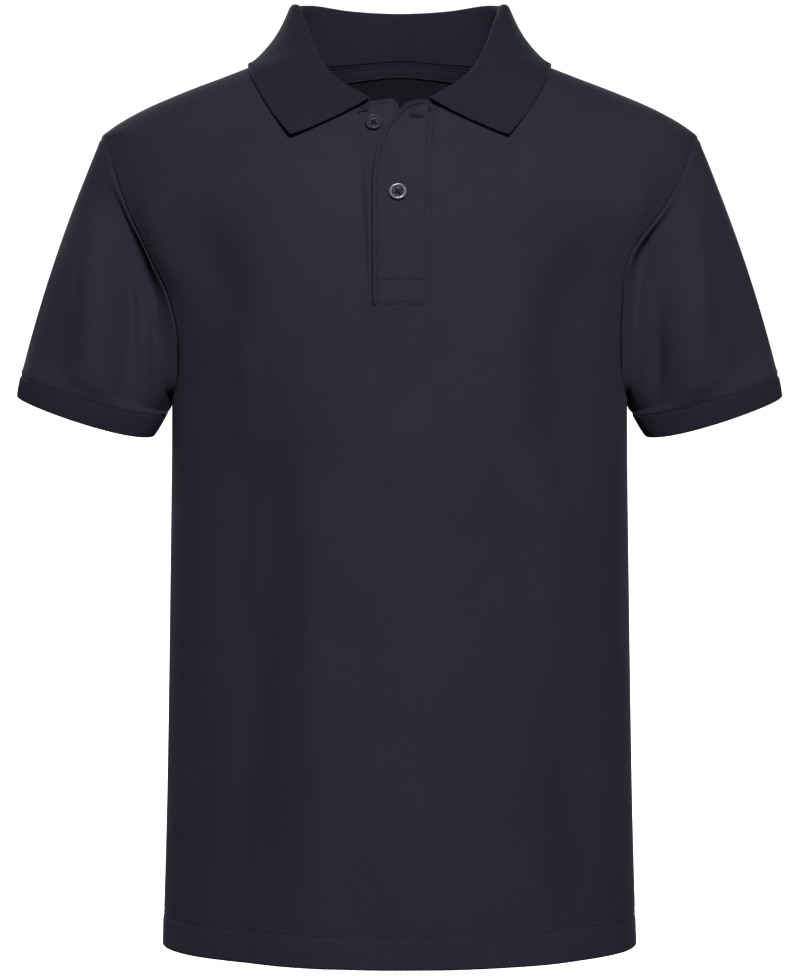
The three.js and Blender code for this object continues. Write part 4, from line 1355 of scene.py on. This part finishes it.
def collar_wall():
    rows, ribs, from_end = collar_rows()
    thickness = in_mm("rib_cloth")
    normals = grid_normals(rows, grid_cells(rows.shape[:2]), True)
    normals[:, 0, 2] = 0
    run = lengths_along(rows, 1)
    from_edge = run[:, -1:] - run
    welt = smoothstep(from_edge, 1.0, 3.4) * smoothstep(from_end, 0.6, 2.4)[:, None]
    # The ribs fade from the start of the fold to a little way down the leaf.
    fold_start = len(STAND_STEPS)
    on_leaf = smoothstep(np.arange(rows.shape[1]), fold_start, fold_start + 7)
    place = np.linspace(0, 1, len(rows)) * ribs
    ribs_here = rib_wave(place)[:, None] * welt * (1 - 0.8 * on_leaf)
    lift = in_mm("rib_relief") * ribs_here * smoothstep(run, 0.5, 2)
    lift = lift + 0.12 * (1 - smoothstep(from_edge, 1.4, 3.0))
    rows = rows + unit(normals) * (thickness + lift)[..., None]
    across = lengths_along(rows, 0)[:, [fold_start + FOLD_STEPS // 2]]
    uv = np.stack([np.broadcast_to(across, run.shape), run], axis=-1)

    def level_at_seam(found):
        found = found.copy()
        found[:, 0, 2] = 0
        return unit(found)

    return cloth_wall(rows, thickness, uv, flip=True, inner_normals=level_at_seam)


def tape_rows(share, downs, out):
    """Rows on the inside of the back panel, each some way down from the neck's edge."""
    top = neck_row(share)
    rows = []
    for down in downs:
        z = top[:, 2] - TAPE_DROP - down
        rows.append(torso_point(turn_at(top[:, 0], z), z, BACK, out(down) - TAPE_FACE))
    return rows


def tape_wall():
    def dent(down):
        return sum(0.25 * bell(down - row, 0.5) for row in TAPE_ROWS)

    downs = (TAPE_HEIGHT, 7.6, 7.1, 6.6, 6.1, 4, 2, 1.6, 1.2, 0.8, 0.3, 0)
    rows = np.stack(tape_rows(np.linspace(-0.9, 0.9, 150), downs, dent))
    return cloth_wall(rows, in_mm("tape_cloth"), panel_uv(rows, rows.shape[1] // 2))


# Stitches and buttons


def stitch_tree():
    """Lays a short rounded thread at every step along its lines, turned to each line's lay."""
    tree = bpy.data.node_groups.new("Stitches", "GeometryNodeTree")
    sockets = tree.interface
    sockets.new_socket("Geometry", in_out="INPUT", socket_type="NodeSocketGeometry")
    for name, default in (("Pitch", 2.6), ("Stitch length", 2.1), ("Thread", 0.36)):
        socket = sockets.new_socket(name, in_out="INPUT", socket_type="NodeSocketFloat")
        socket.default_value = default * MM
        socket.subtype = "DISTANCE"
    sockets.new_socket("Material", in_out="INPUT", socket_type="NodeSocketMaterial")
    sockets.new_socket("Geometry", in_out="OUTPUT", socket_type="NodeSocketGeometry")
    node = {}
    for label, kind in (
        ("Lines", "NodeGroupInput"),
        ("Curves", "GeometryNodeMeshToCurve"),
        ("Steps", "GeometryNodeResampleCurve"),
        ("Lay", "GeometryNodeInputNamedAttribute"),
        ("Turn", "FunctionNodeAlignRotationToVector"),
        ("Ball", "GeometryNodeMeshUVSphere"),
        ("Half length", "ShaderNodeMath"),
        ("Radius", "ShaderNodeMath"),
        ("Size", "ShaderNodeCombineXYZ"),
        ("One stitch", "GeometryNodeTransform"),
        ("Smooth", "GeometryNodeSetShadeSmooth"),
        ("Laid", "GeometryNodeInstanceOnPoints"),
        ("Real", "GeometryNodeRealizeInstances"),
        ("Colour", "GeometryNodeSetMaterial"),
        ("Stitches", "NodeGroupOutput"),
    ):
        node[label] = tree.nodes.new(kind)
        node[label].label = label
    node["Steps"].mode = "LENGTH"
    node["Lay"].data_type = "FLOAT_VECTOR"
    node["Lay"].inputs["Name"].default_value = "lay"
    node["Turn"].axis = "Z"
    for socket, value in (("Segments", 6), ("Rings", 5), ("Radius", 1.0)):
        node["Ball"].inputs[socket].default_value = value
    for half in ("Half length", "Radius"):
        node[half].operation = "MULTIPLY"
        node[half].inputs[1].default_value = 0.5
    for source, output, target, socket in (
        ("Lines", "Geometry", "Curves", "Mesh"),
        ("Curves", "Curve", "Steps", "Curve"),
        ("Lines", "Pitch", "Steps", "Length"),
        ("Steps", "Curve", "Laid", "Points"),
        ("Lay", "Attribute", "Turn", "Vector"),
        ("Turn", "Rotation", "Laid", "Rotation"),
        ("Lines", "Stitch length", "Half length", 0),
        ("Lines", "Thread", "Radius", 0),
        ("Radius", 0, "Size", "X"),
        ("Radius", 0, "Size", "Y"),
        ("Half length", 0, "Size", "Z"),
        ("Ball", "Mesh", "One stitch", "Geometry"),
        ("Size", "Vector", "One stitch", "Scale"),
        ("One stitch", "Geometry", "Smooth", "Geometry"),
        ("Smooth", "Geometry", "Laid", "Instance"),
        ("Laid", "Instances", "Real", "Geometry"),
        ("Real", "Geometry", "Colour", "Geometry"),
        ("Lines", "Material", "Colour", "Material"),
        ("Colour", "Geometry", "Stitches", "Geometry"),
    ):
        tree.links.new(node[source].outputs[output], node[target].inputs[socket])
    return tree


def stitched(name, lines, pitch, length, thread):
    """Runs the stitch tree along lines of (points, lays) in millimetres, and keeps its mesh."""
    points, edges, lays = [], [], []
    for line, lay in lines:
        start = len(points)
        points.extend(np.asarray(line) * MM)
        lays.extend(np.asarray(lay))
        edges.extend((start + k, start + k + 1) for k in range(len(line) - 1))
    mesh = bpy.data.meshes.new(name + "_lines")
    mesh.from_pydata([tuple(p) for p in points], edges, [])
    attribute = mesh.attributes.new("lay", "FLOAT_VECTOR", "POINT")
    attribute.data.foreach_set("vector", np.asarray(lays, np.float32).ravel())
    lines_object = place_object(name + "_lines", mesh, None)
    tree = bpy.data.node_groups.get("Stitches") or stitch_tree()
    modifier = lines_object.modifiers.new("Stitches", "NODES")
    modifier.node_group = tree
    wanted = {
        "Pitch": pitch * MM,
        "Stitch length": length * MM,
        "Thread": thread * MM,
        "Material": bpy.data.materials["Sewing thread"],
    }
    for item in tree.interface.items_tree:
        if item.item_type == "SOCKET" and item.in_out == "INPUT" and item.name in wanted:
            modifier[item.identifier] = wanted[item.name]
    lines_object.update_tag()
    bpy.context.view_layer.update()
    graph = bpy.context.evaluated_depsgraph_get()
    made = bpy.data.meshes.new_from_object(lines_object.evaluated_get(graph))
    bpy.data.objects.remove(lines_object)
    if not made.polygons:
        raise RuntimeError(name + ": no stitches were laid")
    made.name = name
    obj = place_object(name, made, None)
    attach(obj, "root")
    return obj


def run_of(points):
    """A line of points with each stitch laid along it."""
    return points, unit(np.gradient(points, axis=0))


def band_faces(rings, sides):
    """Faces between rings of places, each closed on itself, and a cap on both ends."""
    faces = []
    for j in range(rings - 1):
        for k in range(sides):
            n = (k + 1) % sides
            faces.append((j * sides + k, j * sides + n, (j + 1) * sides + n, (j + 1) * sides + k))
    faces.append(tuple(reversed(range(sides))))
    faces.append(tuple((rings - 1) * sides + k for k in range(sides)))
    return faces


def tube(points, radius, sides=8):
    """A closed round tube along a line of points."""
    points = np.asarray(points, float)
    along = unit(np.gradient(points, axis=0))
    side = unit(np.cross(along, np.array([0.31, 0.9, 0.3])))
    up = np.cross(along, side)
    turn = np.linspace(0, 2 * np.pi, sides, endpoint=False)
    swell = np.ones(len(points))
    swell[[0, -1]] = 0.35
    ring = side[:, None] * np.cos(turn)[:, None] + up[:, None] * np.sin(turn)[:, None]
    rows = points[:, None] + ring * (radius * swell)[:, None, None]
    return rows.reshape(-1, 3), band_faces(len(points), sides)


def tube_mesh(name, tubes, scale=1.0):
    points, faces = [], []
    for rows, bands in tubes:
        start = len(points)
        points.extend(rows * scale)
        faces.extend(tuple(start + place for place in face) for face in bands)
    mesh = bpy.data.meshes.new(name)
    mesh.from_pydata([tuple(point) for point in points], [], faces)
    mesh.update()
    mesh.shade_smooth()
    return mesh


def button_mesh(name, radius, painted_ring_highlight):
    """A turned button with a rounded rim, a sloping well and four holes, along +Z, in mm."""
    turns = 64
    points = []
    for r, h in BUTTON_PROFILE:
        for k in range(turns):
            a = 2 * math.pi * k / turns
            x, y = r * radius * math.cos(a), r * radius * math.sin(a)
            points.append((x, y, h * BUTTON_HEIGHT))
    mesh = bpy.data.meshes.new(name)
    mesh.from_pydata(points, [], band_faces(len(BUTTON_PROFILE), turns))
    mesh.update()
    body = place_object(name + "_blank", mesh, None)
    cutters = []
    for k in range(4):
        a = math.pi / 4 + QUARTER * k
        spread = radius * HOLE_SPREAD
        middle = np.array([spread * math.cos(a), spread * math.sin(a), 0])
        line = [middle + (0, 0, level) for level in (-1, 1.2, 3.4)]
        cutters.append(tube(line, radius * HOLE_RADIUS, 16))
    cutter = place_object(name + "_cutter", tube_mesh(name + "_holes", cutters), None)
    cut = body.modifiers.new("Holes", "BOOLEAN")
    cut.operation = "DIFFERENCE"
    cut.solver = "EXACT"
    cut.object = cutter
    bpy.context.view_layer.update()
    graph = bpy.context.evaluated_depsgraph_get()
    made = bpy.data.meshes.new_from_object(body.evaluated_get(graph))
    for used in (body, cutter):
        bpy.data.objects.remove(used)
    made.name = name
    # The Ring attribute sets how much painted highlight, coat and gloss a rim gets, scaled per
    # button.
    ring = made.attributes.new("Ring", "FLOAT", "POINT")
    for point, value in zip(made.vertices, ring.data):
        reach = math.hypot(point.co.x, point.co.y) / radius
        value.value = painted_ring_highlight * float(smoothstep(reach, 0.62, 0.72)) * (point.co.z > BUTTON_HEIGHT / 2)
    return made


def thread_bars(radius):
    """Two crossed pairs of threads through a button's four holes, with one pair on top."""
    spread = radius * HOLE_SPREAD * math.sqrt(0.5)
    t = np.linspace(-1, 1, 13)
    bars = []
    for start, end, over in (((-1, -1), (1, 1), 0.0), ((-1, 1), (1, -1), 0.2)):
        a, b = np.array(start, float), np.array(end, float)
        across = np.array([-(b - a)[1], (b - a)[0]]) / np.linalg.norm(b - a)
        flat = (a[None] * (1 - t[:, None]) + b[None] * (1 + t[:, None])) / 2 * spread
        lift = 0.95 + 0.75 * (1 - np.abs(t) ** 5) + over
        for shift in (-0.3, 0.3):
            beside = flat + across * shift * (1 - 0.5 * t[:, None] ** 4)
            bars.append(tube(np.concatenate([beside, lift[:, None]], axis=1), THREAD_RADIUS))
    return bars


def on_over(hole, dx, dz, lift):
    """Places on the top strip of the placket, measured from the middle of a buttonhole."""
    x = hole["x"] + dx
    z = hole["z"] + dz + hole["tilt"] * dx * 0.06
    left, right = over_edges(z)
    return over_point((x - left) / (right - left), z, lift)


# Operators


class PoloOperator(bpy.types.Operator):
    bl_options = {"REGISTER", "UNDO"}


class POLO_OT_materials(PoloOperator):
    """Make the shirt's cloths, thread and button plastic"""

    bl_idname = "polo.materials"
    bl_label = "Materials"

    def execute(self, context):
        colours = context.scene.polo_colours
        weave = sizes().weave_pitch
        ribs = sizes().rib_pitch
        cloth_finish("Pique knit", colours.pique, pique_height(weave), PIQUE_RELIEF)
        rib = rib_height(ribs)
        # The rib's inner face is painted lighter, as light on the inside of the collar stand.
        cloth_finish("Rib knit", colours.rib, rib, RIB_RELIEF, pit_shade=0.12, inner_face_painted_shading=1.25)
        cloth_finish("Twill tape", colours.tape, twill_height(TWILL_PITCH), TWILL_RELIEF)
        thread = Finish(
            "Sewing thread", colours.thread, Roughness=0.7, **{"Specular IOR Level": 0.1}
        )
        twist = thread.object_noise(2600.0, 1.0, "Twist")
        thread.shaded_colour(colours.thread, thread.spread(twist, 0.3, 0.7, 0.7, 1.3, "Strands"))
        thread.relief(twist, 0.05 * MM)
        plastic = Finish(
            "Button plastic", colours.button,
            **{"Coat Roughness": 0.05, "Coat IOR": 1.6, "Specular IOR Level": 0.2},
        )
        swirl = plastic.object_noise(420.0, 3.0, "Swirl")
        swirls = plastic.spread(swirl, 0.3, 0.7, 0.65, 1.5, "Swirls")
        ring = plastic.add("ShaderNodeAttribute", "Ring", attribute_name="Ring").outputs["Fac"]
        # The ring's lighter colour is a painted highlight for the rim's reflections, with a little
        # of the plastic's own pearly rim.
        ring_highlight_mix = plastic.add("ShaderNodeMix", "Painted ring highlight", data_type="RGBA")
        ring_highlight_mix.inputs["A"].default_value = tuple(colours.button)
        ring_highlight_mix.inputs["B"].default_value = tuple(colours.painted_ring_highlight)
        plastic.join(ring, ring_highlight_mix.inputs["Factor"])
        plastic.shaded_colour(colours.button, swirls)
        plastic.join(ring_highlight_mix.outputs["Result"], plastic.shade.inputs["A"])
        rough = plastic.spread(ring, 0, 1, 0.5, 0.12, "Duller well")
        plastic.join(rough, plastic.shader.inputs["Roughness"])
        plastic.join(ring, plastic.shader.inputs["Coat Weight"])
        plastic.relief(swirl, 0.02 * MM, 0.4)
        # The slit material is painted shadow, mottled at random.
        slit = Finish("Slit shadow", colours.slit, Roughness=1.0)
        shadow_mottle = slit.object_noise(1800.0, 2.0, "Shadow mottle")
        slit.shaded_colour(colours.slit, slit.spread(shadow_mottle, 0.3, 0.7, 0.6, 1.6, "Shadow mottle"))
        return {"FINISHED"}


class POLO_OT_panels(PoloOperator):
    """Cut and hang the front and back panels, with their folds and hem"""

    bl_idname = "polo.panels"
    bl_label = "Front and back"

    def execute(self, context):
        dress("front_cloth", front_wall(), "Pique knit", ["front_panel"])
        dress("back_cloth", back_wall(), "Pique knit", ["back_panel"])
        return {"FINISHED"}


class POLO_OT_sleeves(PoloOperator):
    """Set in the sleeves and their rib cuffs"""

    bl_idname = "polo.sleeves"
    bl_label = "Sleeves and cuffs"

    def execute(self, context):
        for side, name in ((1, "left"), (-1, "right")):
            dress("sleeve_cloth_" + name, sleeve_wall(side), "Pique knit",
                  ["sleeve_" + name])
            dress("cuff_rib_" + name, cuff_wall(side), "Rib knit",
                  ["cuff_" + name])
        return {"FINISHED"}


class POLO_OT_placket(PoloOperator):
    """Lay the two strips of the placket"""

    bl_idname = "polo.placket"
    bl_label = "Placket"

    def execute(self, context):
        dress("placket_under_cloth", under_wall(), "Pique knit",
              ["placket_under"])
        dress("placket_over_cloth", over_wall(), "Pique knit",
              ["placket_over"])
        return {"FINISHED"}


class POLO_OT_collar(PoloOperator):
    """Fold the rib collar and lay the neck tape"""

    bl_idname = "polo.collar"
    bl_label = "Collar and tape"

    def execute(self, context):
        dress("collar_rib", collar_wall(), "Rib knit", ["collar"])
        dress("neck_tape_cloth", tape_wall(), "Twill tape", ["neck_tape"])
        return {"FINISHED"}


class POLO_OT_buttons(PoloOperator):
    """Turn the buttons, sew them on and work their buttonholes"""

    bl_idname = "polo.buttons"
    bl_label = "Buttons and buttonholes"

    def execute(self, context):
        for name, place in BUTTON_PLACES.items():
            self.sew_on(name, place, in_mm("button") / 2)
        lines, slits = [], []
        t = np.linspace(0, 2 * np.pi, 61)
        u = np.linspace(-1, 1, 21)
        for hole in BUTTONHOLES:
            # A flat-sided ring around the slit, with each stitch across it.
            x = hole["half"] * np.sign(np.cos(t)) * np.abs(np.cos(t)) ** 0.35
            z = BUTTONHOLE_HALF_DEPTH * np.sign(np.sin(t)) * np.abs(np.sin(t)) ** 0.8
            ring = on_over(hole, x, z, 0.16)
            inner = on_over(hole, x * 0.9, z * 0.3, 0.16)
            lines.append((ring, unit(ring - inner)))
            # A dark tube along each slit is painted shadow, standing in for the shade in the
            # opening.
            slits.append(tube(on_over(hole, u * hole["slit"], np.zeros(21), 0.3), 0.5, 6))
        stitched("buttonhole_stitches", lines, 0.34, 1.15, 0.3)
        slit_mesh = tube_mesh("buttonhole_slits", slits, MM)
        slit = place_object("buttonhole_slits", slit_mesh, bpy.data.materials["Slit shadow"])
        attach(slit, "root")
        return {"FINISHED"}

    @staticmethod
    def sew_on(name, place, radius):
        x, z = np.array(place["x"]), np.array(place["z"])
        at = front_point(x, z, place["out"])
        outward = Vector(torso_normal(turn_at(x, z), z, np.array(FRONT)))
        turned = outward.to_track_quat("Z", "Y").to_matrix().to_4x4()
        spin = Matrix.Rotation(math.radians(place["turn"]), 4, "Z")
        put = Matrix.Scale(MM, 4) @ Matrix.Translation(Vector(at)) @ turned @ spin
        mesh = button_mesh(name + "_turned", radius, place["painted_ring_highlight"])
        mesh.transform(put)
        mesh.shade_smooth()
        button = place_object(name + "_turned", mesh, bpy.data.materials["Button plastic"])
        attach(button, "root")
        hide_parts(name)
        sewn = tube_mesh(name + "_thread", thread_bars(radius))
        sewn.transform(put)
        thread = place_object(name + "_thread", sewn, bpy.data.materials["Sewing thread"])
        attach(thread, "root")


class POLO_OT_topstitching(PoloOperator):
    """Run the rows of topstitching: hem, placket and neck tape"""

    bl_idname = "polo.topstitching"
    bl_label = "Topstitching"

    def execute(self, context):
        lines = []
        turn = np.linspace(-QUARTER, QUARTER, 260)
        for up in HEM_STITCHES:
            for face in (FRONT, BACK):
                z = np.full(260, HEM_LEVEL + up)
                x = torso_width(z) * np.sin(turn)
                lines.append(run_of(torso_point(turn, z, face, 0.02 + hem_lift(z, x))))
        corner = over_top(0.0) - OVER_RIM_STITCH - 0.8
        rise = np.linspace(OVER_FOOT + OVER_BOX[0], corner, 150)
        z = np.concatenate([rise, np.full(12, corner)])
        left, right = over_edges(z)
        t = OVER_RIM_STITCH / (right - left)
        t[150:] = np.linspace(t[149] + 0.1, 0.9, 12)
        z[150:] = over_top(t[150:]) - OVER_RIM_STITCH
        lines.append(run_of(over_point(t, z, STITCH_SINK)))
        t = np.linspace(0.08, 0.98, 24)
        for up in OVER_BOX:
            lines.append(run_of(over_point(t, np.full(24, OVER_FOOT + up), STITCH_SINK)))
        z = np.linspace(PLACKET_FOOT, NECK_FOOT_LEVEL - 3, 150)
        x = placket_line["panel_right"](z) + PANEL_STITCH
        lines.append(run_of(front_point(x, z, STITCH_SINK)))
        z = np.linspace(-110, UNDER_TOP - UNDER_RIM_STITCH - 1.6, 90)
        x = placket_line["under_right"](z) - UNDER_RIM_STITCH
        lines.append(run_of(front_point(x, z, STITCH_SINK - UNDER_SUNK)))
        t = np.linspace(0.4, 0.9, 20)
        z = under_top(t) - UNDER_RIM_STITCH
        left, right = under_edges(z)
        lines.append(run_of(front_point(left + (right - left) * t, z, STITCH_SINK - UNDER_SUNK)))
        tape = tape_rows(np.linspace(-0.89, 0.89, 120), TAPE_ROWS, lambda down: 0.1)
        lines.extend(run_of(row) for row in tape)
        pitch = in_mm("stitch_pitch")
        stitched("topstitching", lines, pitch, pitch * 0.8, in_mm("thread"))
        return {"FINISHED"}


class POLO_OT_stage(PoloOperator):
    """Set the pale floor, the soft lights and the camera at the photograph's angle"""

    bl_idname = "polo.stage"
    bl_label = "Studio"

    def execute(self, context):
        scene = context.scene
        studio = scene.polo_studio
        self.sweep()
        self.light("Key", studio.key, 1.1, (0.3, -2.98, 1.1), (0.01, -0.1, -0.12), 66)
        self.light("Fill", studio.fill, 1.6, (-1.2, -3.0, -0.2), (0.0, 0.0, -0.25))
        self.light("Back", studio.back, 1.8, (-1.6, 2.6, 1.2), (0, 0, -0.25))
        self.light("Back fill", studio.back * 0.8, 1.8, (1.0, 3.0, 0.9), (0, 0, -0.25))
        world = bpy.data.worlds.new("White surround")
        world.use_nodes = True
        background = world.node_tree.nodes["Background"]
        background.inputs["Color"].default_value = (1, 1, 1, 1)
        background.inputs["Strength"].default_value = 1.0
        scene.world = world
        world.cycles_visibility.diffuse = False
        world.cycles_visibility.glossy = False
        scene.view_settings.view_transform = "Standard"
        camera = bpy.data.cameras.new("Camera")
        camera.sensor_width = 36.0
        camera.lens = camera.sensor_width * CAMERA_DISTANCE / (IMAGE_HEIGHT * PIXEL_SIZE)
        holder = bpy.data.objects.new("Camera", camera)
        holder.location = (CAMERA_X, -CAMERA_DISTANCE, CAMERA_LEVEL)
        holder.rotation_euler = (QUARTER, 0, 0)
        scene.collection.objects.link(holder)
        scene.camera = holder
        return {"FINISHED"}

    @staticmethod
    def sweep():
        """A floor that curves up into a wall well behind the shirt."""
        floor, back, radius, half_width = -700.0, 3600.0, 900.0, 4200.0
        start = back - radius
        profile = [(-2600.0, floor), (0.0, floor), (start, floor)]
        for k in range(1, 13):
            a = QUARTER * k / 12
            profile.append((start + radius * math.sin(a), floor + radius * (1 - math.cos(a))))
        profile.append((back, 3200.0))
        points = [(x, y, z) for y, z in profile for x in (-half_width, half_width)]
        faces = [(2 * k, 2 * k + 1, 2 * k + 3, 2 * k + 2) for k in range(len(profile) - 1)]
        white = Finish("Pale paper", (0.9, 0.9, 0.9, 1), Roughness=0.9)
        white.shader.inputs["Emission Color"].default_value = (1, 1, 1, 1)
        white.shader.inputs["Emission Strength"].default_value = 0.95
        paper = place_object("Floor", mesh_from("Floor", points, faces), white.material)
        paper.visible_diffuse = False
        paper.visible_glossy = False

    @staticmethod
    def light(name, power, size, place, aim, spread=180):
        lamp = bpy.data.lights.new(name, "AREA")
        lamp.energy = power
        lamp.shape = "SQUARE"
        lamp.size = size
        lamp.spread = math.radians(spread)
        holder = bpy.data.objects.new(name, lamp)
        holder.location = place
        holder.rotation_euler = (Vector(aim) - Vector(place)).to_track_quat("-Z", "Y").to_euler()
        bpy.context.scene.collection.objects.link(holder)


PIECE_OPERATORS = (
    POLO_OT_materials,
    POLO_OT_panels,
    POLO_OT_sleeves,
    POLO_OT_placket,
    POLO_OT_collar,
    POLO_OT_buttons,
    POLO_OT_topstitching,
    POLO_OT_stage,
)


class POLO_PT_shirt(bpy.types.Panel):
    """Sizes, colours and pieces of the polo shirt"""

    bl_idname = "POLO_PT_shirt"
    bl_label = "Polo Shirt"
    bl_space_type = "VIEW_3D"
    bl_region_type = "UI"
    bl_category = "Polo Shirt"

    def draw(self, context):
        scene = context.scene
        for heading, group in (
            ("Sizes", scene.polo_sizes),
            ("Colours", scene.polo_colours),
            ("Studio", scene.polo_studio),
        ):
            box = self.layout.box()
            box.label(text=heading)
            for key in group.__annotations__:
                box.prop(group, key)
        for operator in PIECE_OPERATORS:
            self.layout.operator(operator.bl_idname)


GROUPS = {"polo_sizes": PoloSizes, "polo_colours": PoloColours, "polo_studio": PoloStudio}


def register():
    for group in GROUPS.values():
        bpy.utils.register_class(group)
    for name, group in GROUPS.items():
        setattr(bpy.types.Scene, name, bpy.props.PointerProperty(type=group))
    for cls in (*PIECE_OPERATORS, POLO_PT_shirt):
        bpy.utils.register_class(cls)


def unregister():
    for cls in reversed((*PIECE_OPERATORS, POLO_PT_shirt)):
        bpy.utils.unregister_class(cls)
    for name, group in GROUPS.items():
        delattr(bpy.types.Scene, name)
        bpy.utils.unregister_class(group)


def main():
    register()
    for operator in PIECE_OPERATORS:
        family, verb = operator.bl_idname.split(".")
        getattr(getattr(bpy.ops, family), verb)()


if __name__ == "__main__":
    main()
